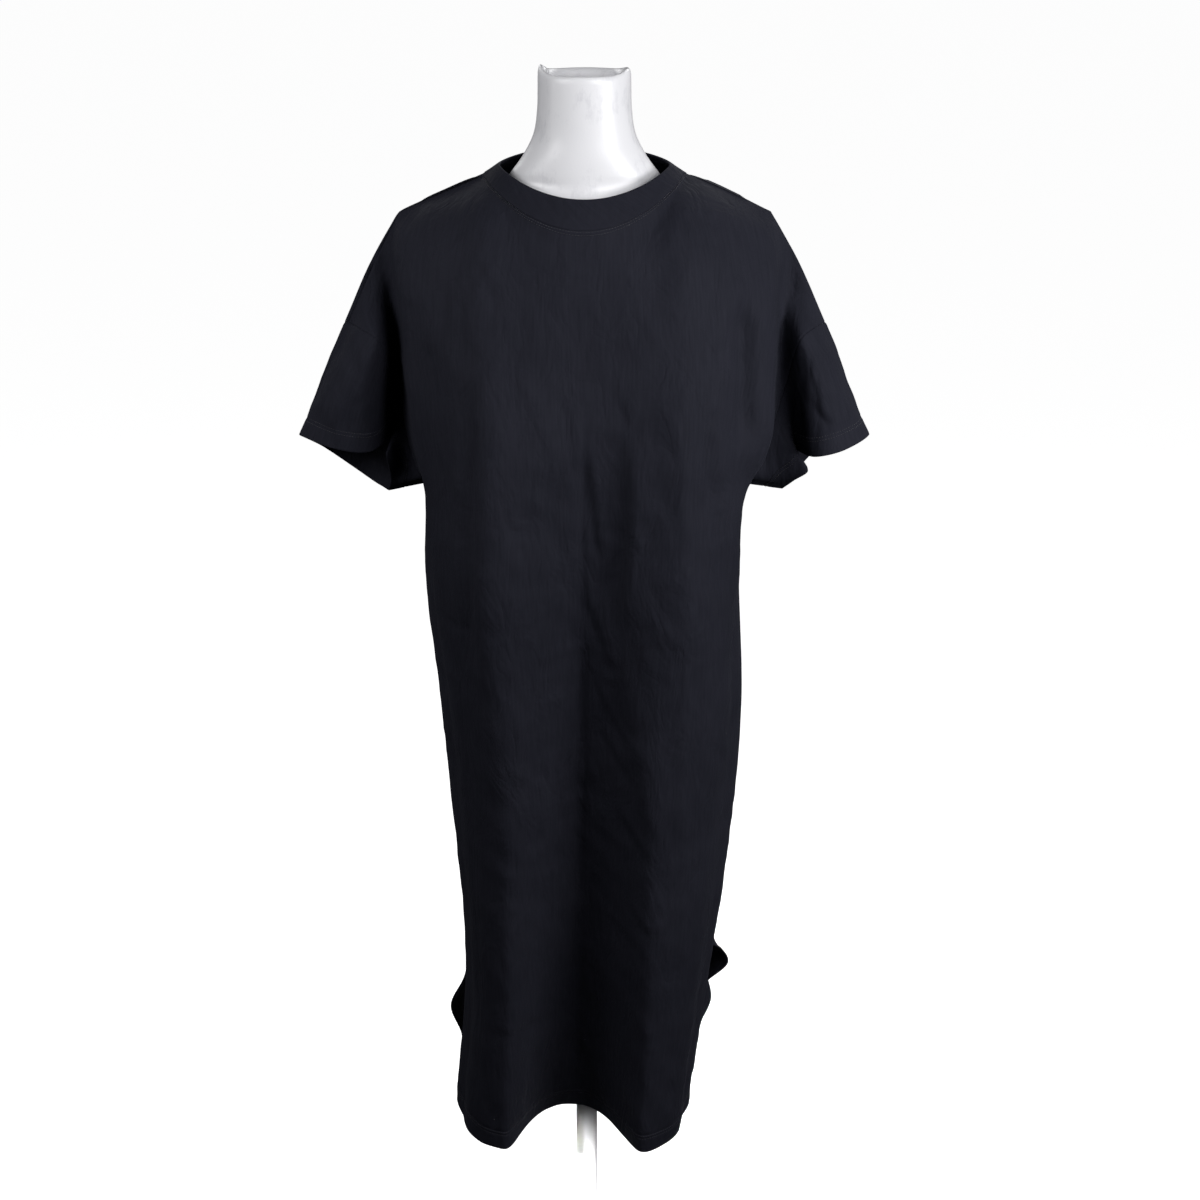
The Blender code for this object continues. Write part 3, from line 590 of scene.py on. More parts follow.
edgeFlips = table("panel side z height out across", [
    (1, 1, 0.473, 0.04, 0.026, 0.14),
    (0, 1, 0.425, 0.045, 0.012, 0.12),
    (1, -1, 0.41, 0.05, 0.017, 0.14),
])

# The upper panels from the underarm to the shoulder line, one half at a time; each group of columns
# is a line up the cloth, from the middle out to the armhole seam
levelColumns = ("rise midY midZ innerX innerY innerZ outerX outerY outerZ edgeX edgeY edgeZ "
                "valleyX valleyY valleyZ seamX seamY seamZ")
frontRight = table(levelColumns, [
    (1.09, -0.135, 1.09, 0.058, -0.136, 1.09, 0.119, -0.129, 1.09, 0.183, -0.058, 1.091,
     0.184, -0.024, 1.086, 0.177, -0.002, 1.077),
    (1.13, -0.136, 1.13, 0.058, -0.137, 1.13, 0.12, -0.132, 1.13, 0.196, -0.064, 1.128,
     0.196, -0.022, 1.118, 0.194, 0.002, 1.103),
    (1.2, -0.126, 1.2, 0.06, -0.127, 1.203, 0.121, -0.116, 1.208, 0.2, -0.058, 1.2,
     0.205, -0.012, 1.19, 0.213, 0, 1.166),
    (1.29, -0.1, 1.296, 0.062, -0.097, 1.304, 0.118, -0.084, 1.322, 0.198, -0.042, 1.29,
     0.211, -0.008, 1.264, 0.226, -0.032, 1.232),
    (1.335, -0.088, 1.334, 0.063, -0.08, 1.345, 0.112, -0.05, 1.378, 0.198, -0.022, 1.338,
     0.219, 0.003, 1.292, 0.242, -0.022, 1.244),
    (1.37, -0.083, 1.358, 0.072, -0.055, 1.383, 0.104, 0.004, 1.404, 0.196, 0.006, 1.364,
     0.228, 0.004, 1.309, 0.257, 0, 1.246),
])
frontLeft = table(levelColumns, [
    (1.09, -0.135, 1.09, 0.058, -0.136, 1.09, 0.118, -0.129, 1.09, 0.177, -0.056, 1.091,
     0.18, -0.022, 1.086, 0.179, -0.002, 1.075),
    (1.13, -0.136, 1.13, 0.058, -0.137, 1.13, 0.116, -0.13, 1.13, 0.182, -0.06, 1.128,
     0.187, -0.02, 1.118, 0.19, 0.002, 1.102),
    (1.2, -0.126, 1.2, 0.06, -0.127, 1.203, 0.119, -0.115, 1.208, 0.187, -0.055, 1.2,
     0.198, -0.002, 1.192, 0.205, 0.014, 1.168),
    (1.29, -0.1, 1.296, 0.062, -0.097, 1.304, 0.118, -0.084, 1.32, 0.192, -0.044, 1.29,
     0.205, 0.006, 1.266, 0.217, -0.036, 1.233),
    (1.335, -0.088, 1.334, 0.063, -0.08, 1.345, 0.112, -0.05, 1.376, 0.196, -0.022, 1.335,
     0.213, 0.004, 1.292, 0.237, -0.026, 1.244),
    (1.37, -0.083, 1.358, 0.072, -0.055, 1.383, 0.104, 0.004, 1.4, 0.196, 0.006, 1.362,
     0.223, 0.004, 1.309, 0.253, 0, 1.246),
])
backHalf = table(levelColumns, [
    (1.09, 0.109, 1.09, 0.058, 0.108, 1.09, 0.115, 0.101, 1.09, 0.17, 0.07, 1.089,
     0.18, 0.05, 1.083, 0.181, 0.028, 1.074),
    (1.13, 0.11, 1.13, 0.058, 0.11, 1.13, 0.116, 0.106, 1.13, 0.175, 0.088, 1.125,
     0.19, 0.07, 1.112, 0.2, 0.048, 1.096),
    (1.2, 0.11, 1.2, 0.06, 0.11, 1.205, 0.119, 0.106, 1.215, 0.184, 0.086, 1.198,
     0.207, 0.076, 1.178, 0.224, 0.062, 1.152),
    (1.29, 0.106, 1.3, 0.064, 0.104, 1.308, 0.118, 0.092, 1.325, 0.192, 0.062, 1.29,
     0.219, 0.054, 1.258, 0.243, 0.046, 1.214),
    (1.335, 0.098, 1.365, 0.066, 0.09, 1.368, 0.112, 0.058, 1.382, 0.196, 0.036, 1.338,
     0.223, 0.03, 1.291, 0.252, 0.026, 1.236),
    (1.37, 0.084, 1.403, 0.068, 0.064, 1.404, 0.104, 0.004, 1.404, 0.196, 0.006, 1.364,
     0.228, 0.004, 1.309, 0.257, 0, 1.246),
])

# Each cuff, from the underarm (0) up its front to the top (0.5) and down its back (1)
cuffRight = table("around x y z", [
    (0, 0.218, 0.02, 1.055),
    (0.08, 0.228, -0.004, 1.071),
    (0.15, 0.242, -0.014, 1.086),
    (0.235, 0.23, 0.012, 1.1),
    (0.31, 0.246, -0.03, 1.105),
    (0.4, 0.277, -0.034, 1.113),
    (0.5, 0.309, 0.002, 1.121),
    (0.61, 0.294, 0.036, 1.116),
    (0.74, 0.268, 0.056, 1.1),
    (0.88, 0.239, 0.051, 1.072),
    (1, 0.218, 0.02, 1.055),
])
cuffLeft = table("around x y z", [
    (0, 0.219, 0.03, 1.05),
    (0.08, 0.213, 0.004, 1.072),
    (0.15, 0.214, -0.022, 1.108),
    (0.235, 0.213, 0.018, 1.114),
    (0.3, 0.232, -0.032, 1.111),
    (0.4, 0.272, -0.034, 1.116),
    (0.5, 0.311, 0.002, 1.121),
    (0.61, 0.292, 0.044, 1.097),
    (0.74, 0.262, 0.06, 1.07),
    (0.88, 0.236, 0.054, 1.053),
    (1, 0.219, 0.03, 1.05),
])
bandEdge = {"halfWidth": 0.089, "frontY": -0.064, "backY": 0.066,
            "frontZ": 1.387, "sideZ": 1.414, "backZ": 1.424}


def acrossColumns():
    # Column places from -1 to 1: even between the lines, closer towards the slits' stitching and seams
    half = np.concatenate([
        np.linspace(0, 0.5, 45), np.linspace(0.5, 0.7, 19)[1:], np.linspace(0.7, 0.85, 14)[1:],
        np.linspace(0.85, 0.958, 10)[1:],
        [0.9635, 0.9665, 0.9695, 0.9725, 0.978, 0.985, 0.991, 0.995, 0.998, 1]])
    return np.concatenate([-half[:0:-1], half])


def nearStitches(stitches):
    # Distances from a turned edge, close together through its fold and its stitching
    near = [0, 0.0004, 0.0011, 0.0022, 0.0045, 0.008, 0.012, 0.0155]
    for stitch in stitches:
        near += [stitch - 0.0012, stitch - 0.0006, stitch, stitch + 0.0006, stitch + 0.0012]
    return np.unique(np.round(near, 5))


def tubeHeights():
    # Rows from the hem to the underarm
    near = nearStitches(dress["hemStitch"]) + dress["hem"]
    return np.concatenate([near, np.linspace(near[-1], dress["underarm"], dress["tubeRows"] + 1)[1:]])


def climb():
    # Share of the way from the underarm to the shoulder line: 1 - (1 - t)^crowding
    return 1 - np.linspace(1, 0, dress["upperRows"] + 1) ** dress["shoulderCrowding"]


across = acrossColumns()
heights = tubeHeights()
lowRow = len(heights) - 1           # the row at the underarm
aboveSlit = int(np.searchsorted(heights, dress["slitTop"]))     # the lowest row with closed side seams
neckColumns = np.abs(across) <= lines["outer"] + 1e-9


def foldShape(offset, hang, left, right, leftFull, rightFull):
    # 1 at the fold's line, 0 at its half widths: 0.65 tent + 0.35 cosine at the top, 1 - t^3.2 at the hem
    t = np.clip(np.where(offset < 0, -offset / left, offset / right), 0, 1)
    full = np.where(offset < 0, leftFull, rightFull) * hang**2
    straight = 0.65 * (1 - t) + 0.35 * (0.5 + 0.5 * np.cos(math.pi * t))
    return (1 - full) * straight + full * (1 - t**3.2)


def tubeRow(z, panel):
    # Half a superellipse walked by equal shares of its length
    size = {name: float(curveThrough(tube["z"], tube[name], z)) for name in tube}
    reach = size["back"] if panel else -size["front"]
    turn = np.linspace(-math.pi / 2, math.pi / 2, 721)
    power = 2 / size["square"]
    halfWidth = np.where(turn < 0, size["left"], size["right"])
    spread = np.where(turn < 0, size["leftSpread"], size["rightSpread"])
    y = dress["seamY"] + (reach - dress["seamY"]) * np.cos(turn).clip(0) ** power
    x = (halfWidth + spread * (y - dress["seamY"]).clip(0)) * np.sign(turn) * np.abs(np.sin(turn)) ** power
    length = np.concatenate([[0], np.cumsum(np.hypot(np.diff(x), np.diff(y)))])
    length -= length[len(turn) // 2]
    share = np.where(length < 0, length / -length[0], length / length[-1])
    opened = max(0.0, (dress["slitTop"] - z) / (dress["slitTop"] - dress["hem"]))
    used = across * (1 - dress["slitGape"] * opened ** 0.8)
    return np.column_stack([np.interp(used, share, x), np.interp(used, share, y), np.full(len(across), z)])


def hungRow(z, panel):
    # The tube's row; the front's middle is drawn by a smooth share towards the bust that it hangs from
    row = tubeRow(z, panel)
    if not panel:
        t = min(max((z - dress["hangsTo"]) / (bustHeight - dress["hangsTo"]), 0.0), 1.0)
        near = np.clip((0.80 - np.abs(across)) / 0.22, 0, 1)
        row[:, :2] += bustOffset * (smoothStep(near) * smoothStep(t))[:, None]
    return row


def foldPush(z, panel):
    # Sum of depth * hang^power * foldShape over the folds, and of the flips at the slits' edges
    push = np.zeros_like(z)
    for atTop, atHem, starts, depth, *shape, power in zip(*(backFolds if panel else frontFolds).values()):
        hang = np.clip((starts - z) / (starts - dress["hem"]), 0, 1)
        push += depth * hang ** power * foldShape(across - atTop - (atHem - atTop) * hang, hang, *shape)
    for flipPanel, side, at, height, out, width in zip(*edgeFlips.values()):
        if flipPanel == panel:
            near = np.where(z < dress["slitTop"], np.clip(1 - np.abs(z - at) / height, 0, 1), 0)
            push += out * smoothStep(near) * np.clip(1 - (1 - across * side) / width, 0, 1) ** 1.5
    return push


def halfLines(levels, row):
    # The points of one level's lines, from the middle out to the armhole seam
    return np.array([[levels[name + axis][row] if name + axis in levels else 0.0 for axis in "XYZ"]
                     for name in lines])


def levelRow(left, right, row):
    # One level: curves through the lines, broken at the edge over each shoulder
    places = np.array(list(lines.values()))
    knots = np.concatenate([-places[:0:-1], places])
    points = np.concatenate([halfLines(left, row)[:0:-1] * (-1, 1, 1), halfLines(right, row)])
    crease = list(lines).index("edge")
    first, last = len(places) - 1 - crease, len(places) - 1 + crease
    spans = [(slice(0, first + 1), across < -lines["edge"]), (slice(last, None), across > lines["edge"]),
             (slice(first, last + 1), np.abs(across) <= lines["edge"])]
    made = np.empty((len(across), 3))
    for span, chosen in spans:
        made[chosen] = curveThrough(knots[span], points[span], across[chosen])
    return made


def roundTheNeck(row):
    # Between the shoulder neck points: x = a sin(t), y and z fall from the side with cos(t) and cos(t)^2
    for side in (-1, 1):
        corner = row[np.argmin(np.abs(across - side * lines["outer"]))]
        middle = row[np.argmin(np.abs(across))]
        chosen = (side * across >= 0) & neckColumns
        turn = math.pi * np.abs(across[chosen])
        ahead = np.cos(turn)[:, None]
        row[chosen] = corner + (middle - corner) * np.column_stack([ahead, ahead, ahead**2])
        row[chosen, 0] = corner[0] * np.sin(turn)
    return row


def relaxed(grid, passes, strength):
    # Each inner point moved towards the mean of its four neighbours, strength of the way, passes times
    for _ in range(passes):
        mean = (grid[2:, 1:-1] + grid[:-2, 1:-1] + grid[1:-1, 2:] + grid[1:-1, :-2]) / 4
        grid[1:-1, 1:-1] += (mean - grid[1:-1, 1:-1]) * strength[1:-1, 1:-1, None]
    return grid


def evenedUp(grid, passes, strength):
    # The same along the columns alone
    for _ in range(passes):
        mean = (grid[2:] + grid[:-2]) / 2
        grid[1:-1] += (mean - grid[1:-1]) * strength[1:-1, :, None]
    return grid


bustHeight = frontRight["rise"][0]
bustOffset = (levelRow(frontLeft, frontRight, 0) - tubeRow(bustHeight, 0))[:, :2]


def panelGrid(panel):
    # Rows of points of the front or back, from the hem up to the shoulder line
    left, right = (backHalf, backHalf) if panel else (frontLeft, frontRight)
    below = [dress["underarm"] - 0.12, dress["underarm"] - 0.06, dress["underarm"]]
    control = [hungRow(z, panel) for z in below]
    control += [levelRow(left, right, row) for row in range(len(right["rise"]))]
    control[-1] = roundTheNeck(control[-1])
    knots = np.concatenate([below, right["rise"]])
    hang = [hungRow(z, panel) for z in heights[:-1]]
    rises = dress["underarm"] + (knots[-1] - dress["underarm"]) * climb()
    grid = np.concatenate([np.array(hang), curveThrough(knots, np.array(control), rises)])
    outward = surfaceNormals(grid, flip=bool(panel)) * (1, 1, 0)
    if not panel:
        outward[..., 0] *= np.clip((np.abs(across) - 0.45) / 0.20, 0, 1)    # the middle folds straight back
    grid += unit(outward) * foldPush(grid[..., 2], panel)[..., None]
    middle = (np.abs(across[1:-1]) < smoothing["acrossUntil"])[:, None] * 0.5
    for _ in range(smoothing["acrossPasses"]):              # rounds the folds' edges, across the rows alone
        grid[:, 1:-1] += ((grid[:, 2:] + grid[:, :-2]) / 2 - grid[:, 1:-1]) * middle
    row = np.arange(len(grid))[:, None] * np.ones(len(across))
    inside = np.clip((1 - np.abs(across)) / 0.06, 0, 1)
    bust = np.exp(-((row - lowRow) / smoothing["bustRows"]) ** 2) * inside
    grid = evenedUp(grid, smoothing["bustPasses"], smoothing["bustStrength"] * bust)
    high = np.clip((row - 20) / 10, 0, 1) * np.clip((len(grid) - 1 - row) / 3, 0, 1) * inside
    return relaxed(grid, smoothing["highPasses"], smoothing["highStrength"] * high)


def formLevelSet(points):
    # ((|x| / a)^n + (|y| / b)^n)^(1 / n) - 1: 0 on the form, above 0 outside it
    halfWidth, front, back, square = formSection(points[..., 2])
    reach = np.where(points[..., 1] > 0, back, front)
    return ((np.abs(points[..., 0]) / halfWidth) ** square
            + (np.abs(points[..., 1]) / reach) ** square) ** (1 / square) - 1


def offTheForm(grid, clear, soft=0.0012, rounds=4):
    # Distance = level / |gradient|; points nearer than clear move out along the gradient, softly
    step = 0.0005
    for _ in range(rounds):
        level = formLevelSet(grid)
        slope = np.stack([(formLevelSet(grid + step * axis) - formLevelSet(grid - step * axis)) / (2 * step)
                          for axis in np.eye(3)], axis=-1)
        steep = np.maximum(np.linalg.norm(slope, axis=-1), 1e-6)
        away = level / steep
        over = (grid[..., 2] < formSizes["z"][0] - 0.01) | (grid[..., 2] > formSizes["z"][-1])
        wanted = 0.5 * (away + clear + np.sqrt((away - clear) ** 2 + soft**2))
        push = np.where(over | (away > clear + 0.01), 0, np.clip(wanted - away, 0, 0.03))
        grid = grid + slope / steep[..., None] * push[..., None]
    return grid


def joinSeams(front, back):
    # The two panels share their points along the side seams and the shoulders
    rows = slice(aboveSlit, lowRow + 1)
    for column in (0, -1):
        front[rows, column] = back[rows, column] = (front[rows, column] + back[rows, column]) / 2
    back[-1, ~neckColumns] = front[-1, ~neckColumns]
    corners = [np.argmin(np.abs(across - side * lines["outer"])) for side in (-1, 1)]
    back[-1, corners] = front[-1, corners]


def ringOf(frontLine, backLine):
    # A line of the front's points or normals, and back along the back's
    return np.concatenate([frontLine, backLine[::-1][1:]])


def cuffHeights(length):
    # Shares of the way down a sleeve, close together through the cuff's fold and stitching
    near = nearStitches(dress["cuffStitch"])
    rest = np.linspace(0.006, length - near[-1], dress["sleeveRows"])
    return np.concatenate([[0, 0.0006, 0.0016, 0.003], rest, (length - near)[::-1][1:]]) / length


def sleeveGrid(front, back, side):
    # Hermite strips from the armhole, in the direction the shoulder leaves it, to the cuff
    column, inner = (0, 4) if side < 0 else (-1, -5)
    start = ringOf(front[lowRow:, column], back[lowRow:, column])
    inside = ringOf(front[lowRow:, inner], back[lowRow:, inner])
    cuff = cuffLeft if side < 0 else cuffRight
    around = np.concatenate([climb() / 2, 1 - climb()[-2::-1] / 2])
    end = curveThrough(cuff["around"], np.column_stack([cuff[axis] for axis in "xyz"]), around)
    end[-1] = end[0]
    end[:, 0] *= side
    chord = end - start
    run = np.linalg.norm(chord, axis=1, keepdims=True)
    leave = unit(start - inside)
    follow = 0.45 * np.clip(5 * np.minimum(around, 1 - around), 0, 1)[:, None]
    leave = follow * leave * run + (1 - follow) * chord
    return hermite(cuffHeights(float(run.mean()))[:, None, None], start, leave, end, chord)


def bandGrid(front, back):
    # Rings from the neck seam to the band's free edge, which follows an oval round the neck
    seam = ringOf(front[-1, neckColumns], back[-1, neckColumns])
    count = int(neckColumns.sum())
    turn = np.concatenate([np.linspace(-math.pi / 2, math.pi / 2, count),
                           np.linspace(math.pi / 2, 3 * math.pi / 2, len(seam) - count + 1)[1:]])
    ahead = np.cos(turn)
    low = np.where(ahead > 0, bandEdge["frontZ"], bandEdge["backZ"])
    edge = np.column_stack([bandEdge["halfWidth"] * np.sin(turn),
                            np.where(ahead > 0, bandEdge["frontY"], -bandEdge["backY"]) * ahead,
                            bandEdge["sideZ"] + (low - bandEdge["sideZ"]) * ahead**2])
    t = np.concatenate([[0, 0.02, 0.05, 0.1], np.linspace(0.16, 0.92, dress["bandRows"] - 8),
                        [0.955, 0.98, 0.994, 1.0]])[:, None, None]
    return seam + (edge - seam) * t


# Creases: each runs down or across through three points as seen from the front, in metres.
# ridge stands out along the line; step lifts the +X side of a line that runs down, and drops the
# other side; width is the crease's own, and reach is how far the step spreads
creaseColumns = "x1 z1 x2 z2 x3 z3 ridge step width reach"
frontCreases = table(creaseColumns, [
    (-0.131, 1.19, -0.132, 1.06, -0.135, 0.92, 0.0034, 0, 0.005, 0.02),
    (-0.114, 1.22, -0.117, 1.06, -0.124, 0.84, -0.003, 0.003, 0.006, 0.016),
    (-0.158, 0.95, -0.14, 0.938, -0.116, 0.948, -0.0016, 0.0008, 0.004, 0.01),
    (0, 1.195, -0.002, 1.08, -0.003, 0.9, -0.002, 0, 0.0045, 0.02),
    (-0.003, 0.94, -0.005, 0.78, -0.01, 0.54, -0.0046, 0, 0.006, 0.022),
    (-0.008, 0.6, -0.011, 0.46, -0.014, 0.32, -0.004, 0, 0.007, 0.022),
    (0.001, 1.15, 0.008, 1.07, 0.016, 1.015, -0.0022, 0.0016, 0.0045, 0.014),
    (-0.026, 1.205, -0.016, 1.165, -0.008, 1.12, -0.0012, 0.0009, 0.005, 0.014),
    (0.034, 1.195, 0.04, 1.18, 0.048, 1.16, -0.0012, 0.0008, 0.004, 0.012),
    (0.04, 1.16, 0.043, 1.06, 0.031, 0.94, -0.002, 0.0062, 0.0085, 0.026),
    (0.036, 0.92, 0.054, 0.79, 0.076, 0.66, 0.0014, 0.003, 0.01, 0.024),
    (-0.001, 0.978, 0.014, 0.93, 0.032, 0.88, -0.0014, 0.001, 0.004, 0.012),
    (0.006, 0.88, 0.026, 0.832, 0.048, 0.795, -0.0013, 0.001, 0.004, 0.012),
    (0.012, 0.828, 0.034, 0.78, 0.058, 0.748, -0.0012, 0.001, 0.004, 0.012),
    (0.03, 0.722, 0.047, 0.697, 0.068, 0.668, -0.0016, 0.001, 0.004, 0.012),
    (0.046, 0.61, 0.058, 0.59, 0.074, 0.572, -0.0014, 0.0008, 0.004, 0.01),
    (0.018, 0.58, 0.038, 0.568, 0.062, 0.548, -0.0012, 0.0008, 0.004, 0.01),
    (0.1, 1.215, 0.106, 1.06, 0.108, 0.9, 0.0018, 0, 0.008, 0.02),
    (0.108, 0.92, 0.106, 0.74, 0.11, 0.48, 0.0018, 0, 0.008, 0.02),
    (0.124, 1.205, 0.142, 1.09, 0.164, 0.94, 0.0006, 0.0038, 0.006, 0.018),
    (0.144, 0.79, 0.15, 0.778, 0.156, 0.76, -0.0016, 0.001, 0.004, 0.01),
    (0.163, 1.29, 0.17, 1.215, 0.168, 1.125, -0.0105, 0.004, 0.009, 0.02),
    (0.156, 1.315, 0.142, 1.275, 0.128, 1.235, 0.0026, 0.0024, 0.01, 0.022),
    (0.126, 1.178, 0.145, 1.16, 0.166, 1.14, -0.003, -0.001, 0.006, 0.014),
    (-0.144, 1.305, -0.142, 1.28, -0.141, 1.255, -0.0016, 0.0008, 0.004, 0.01),
    (-0.126, 1.29, -0.124, 1.265, -0.123, 1.238, -0.0014, 0.0008, 0.004, 0.01),
    (-0.112, 1.33, -0.096, 1.3, -0.088, 1.262, -0.0012, 0.0006, 0.005, 0.012),
    (0.086, 1.388, 0.106, 1.383, 0.134, 1.378, -0.0008, 0.0003, 0.0035, 0.01),
    (0.092, 1.368, 0.118, 1.366, 0.146, 1.354, -0.0009, 0.0003, 0.0035, 0.01),
    (0.104, 1.346, 0.126, 1.346, 0.148, 1.336, -0.0008, 0.0003, 0.0035, 0.01),
    (0.072, 1.352, 0.084, 1.346, 0.098, 1.336, -0.001, 0.0003, 0.0035, 0.01),
    (0.06, 1.31, 0.084, 1.296, 0.11, 1.276, -0.0008, -0.0004, 0.005, 0.014),
    (-0.06, 1.3, -0.036, 1.28, -0.02, 1.25, -0.0008, 0.0005, 0.005, 0.014),
    (-0.124, 0.44, -0.074, 0.446, -0.02, 0.424, -0.001, 0.0004, 0.004, 0.012),
    (-0.076, 0.4, -0.075, 0.35, -0.074, 0.302, 0.0016, 0, 0.004, 0.012),
    (-0.08, 0.86, -0.07, 0.7, -0.078, 0.54, 0.001, -0.0008, 0.01, 0.024),
])
backCreases = table(creaseColumns, [
    (-0.11, 1.24, -0.104, 1.05, -0.112, 0.8, -0.0022, 0.002, 0.01, 0.026),
    (0.092, 1.23, 0.1, 1.03, 0.094, 0.76, -0.002, -0.002, 0.01, 0.026),
    (-0.02, 1.18, -0.014, 0.98, -0.03, 0.76, -0.0016, 0.0014, 0.007, 0.02),
    (0.04, 0.93, 0.01, 0.86, -0.01, 0.78, -0.0012, 0.001, 0.005, 0.014),
    (-0.15, 1.26, -0.14, 1.18, -0.146, 1.09, -0.0026, 0.0014, 0.006, 0.016),
    (0.152, 1.25, 0.142, 1.17, 0.15, 1.08, -0.0026, -0.0014, 0.006, 0.016),
    (-0.06, 1.31, -0.02, 1.29, 0.03, 1.3, -0.001, 0.0004, 0.006, 0.014),
    (-0.07, 0.7, -0.04, 0.6, -0.046, 0.47, -0.0014, 0.0012, 0.007, 0.018),
    (0.06, 0.64, 0.08, 0.54, 0.074, 0.43, -0.0014, -0.0012, 0.007, 0.018),
])
sleeveCreases = table(creaseColumns, [
    (-0.246, 1.222, -0.257, 1.176, -0.27, 1.13, 0.0014, -0.0026, 0.008, 0.022),
    (-0.236, 1.18, -0.244, 1.15, -0.252, 1.118, -0.0012, 0.0012, 0.006, 0.016),
    (-0.228, 1.238, -0.223, 1.232, -0.217, 1.222, -0.001, 0.0003, 0.003, 0.008),
    (0.232, 1.232, 0.246, 1.18, 0.262, 1.13, -0.001, 0.0024, 0.008, 0.022),
    (0.262, 1.236, 0.276, 1.18, 0.288, 1.13, 0.0006, -0.0016, 0.007, 0.018),
    (0.24, 1.17, 0.25, 1.152, 0.268, 1.142, -0.0012, 0.0006, 0.004, 0.01),
])


def bent(t, first, middle, last):
    # The parabola through three values at t = 0, 1/2 and 1
    return (1 - t) ** 2 * first + 2 * t * (1 - t) * (2 * middle - (first + last) / 2) + t**2 * last


def creaseHeights(x, z, creases):
    # Height of all creases at (x, z): fade * (ridge exp(-(d/w)^2) + step tanh(d/w) exp(-(d/r)^2))
    height = np.zeros_like(x)
    t = np.linspace(0, 1, 17)
    for x1, z1, x2, z2, x3, z3, ridge, step, width, reach in zip(*creases.values()):
        lineX, lineZ = bent(t, x1, x2, x3), bent(t, z1, z2, z3)
        near = ((x > lineX.min() - 3 * reach) & (x < lineX.max() + 3 * reach)
                & (z > lineZ.min() - 3 * reach) & (z < lineZ.max() + 3 * reach))
        offX = x[near][:, None] - lineX[:-1]
        offZ = z[near][:, None] - lineZ[:-1]
        runX, runZ = np.diff(lineX), np.diff(lineZ)
        along = np.clip((offX * runX + offZ * runZ) / (runX**2 + runZ**2), 0, 1)
        gap = np.hypot(offX - along * runX, offZ - along * runZ)
        best = gap.argmin(axis=1)[:, None]
        distance = np.take_along_axis(gap, best, 1)[:, 0]
        side = np.take_along_axis(runZ * offX - runX * offZ, best, 1)[:, 0]
        place = (best[:, 0] + np.take_along_axis(along, best, 1)[:, 0]) / len(runX)
        fade = smoothStep(np.clip(np.minimum(place, 1 - place) * 4, 0, 1))
        signed = -np.sign(side) * distance
        height[near] += fade * (ridge * np.exp(-(distance / width) ** 2)
                                + step * np.tanh(signed / width) * np.exp(-(distance / reach) ** 2))
    return height


def crumple(seed, x, z, amount):
    # Soft random waves n, long and upright, with sharper 1 - 2 |n| wrinkles that cross them
    bend = 0.5 * smoothNoise(seed + 3, x * 14, z * 14)
    sharp = 1 - 2 * np.abs(smoothNoise(seed + 4, x * 30 + z * 16 + bend, z * 24 - x * 10 + bend))
    fine = 1 - 2 * np.abs(smoothNoise(seed + 5, x * 64 - z * 30 + bend, z * 52 + x * 12))
    long = smoothNoise(seed, x * 30, z * 9)
    slanted = smoothNoise(seed + 1, x * 60 + z * 22, z * 34)
    return amount * (0.60 * long + 0.35 * slanted + 0.22 * sharp + 0.10 * fine)


def shapePanels():
    # Both panels with their creases and wrinkles along the normals, kept clear of the form
    front, back = panelGrid(0), panelGrid(1)
    joinSeams(front, back)
    inside = np.clip((1 - np.abs(across)) / 0.10, 0, 1)[None, :]
    rows = np.arange(len(front))[:, None]
    topFade = np.clip((len(front) - 1 - rows) / 8, 0, 1)
    for panel, (grid, creases) in enumerate(((front, frontCreases), (back, backCreases))):
        normal = surfaceNormals(grid, flip=bool(panel))
        x, z = grid[..., 0], grid[..., 2]
        height = creaseHeights(x, z, creases) + crumple(dress["panelSeeds"][panel], x, z, dress["crumple"])
        grid += normal * (height * inside * topFade)[..., None]
    clear = dress["cloth"] + dress["restGap"]
    front, back = offTheForm(front, clear), offTheForm(back, clear)
    joinSeams(front, back)
    return front, back


def turnedTo(grid, edge):
    # The grid with the named edge as its first row
    return {"low": grid, "high": grid[::-1], "left": grid.swapaxes(0, 1),
            "right": grid[:, ::-1].swapaxes(0, 1)}[edge]


def runDown(grid):
    # Each point's distance from the first row, measured down its column
    steps = np.linalg.norm(np.diff(grid, axis=0), axis=-1)
    return np.concatenate([np.zeros((1, grid.shape[1])), np.cumsum(steps, axis=0)])


def fromEdge(grid, edge):
    # Each point's distance from one edge, measured along the cloth
    run = runDown(turnedTo(grid, edge))
    return {"low": run, "high": run[::-1], "left": run.T, "right": run.T[:, ::-1]}[edge]


def dip(distance, at, width):
    # A narrow trough at a distance from an edge
    return np.exp(-((distance - at) / width) ** 2)


def cutMap(grid):
    # The flat cut in metres: across from the middle line, and up from the low edge
    right = fromEdge(grid, "left")
    right = right - right[:, right.shape[1] // 2][:, None]
    return np.stack([right, fromEdge(grid, "low")], axis=-1)


def drawBack(layer, rim, neighbour, by):
    # The rim's points moved towards their neighbours in the panel, which opens the seam's gap
    layer[rim] += unit(layer[neighbour] - layer[rim]) * by


def edgeStrip(line, count):
    # Quads from a line of the outer grid's corners to the same line of the inner grid
    return np.stack([line[:-1], line[1:], line[1:] + count, line[:-1] + count], axis=-1)


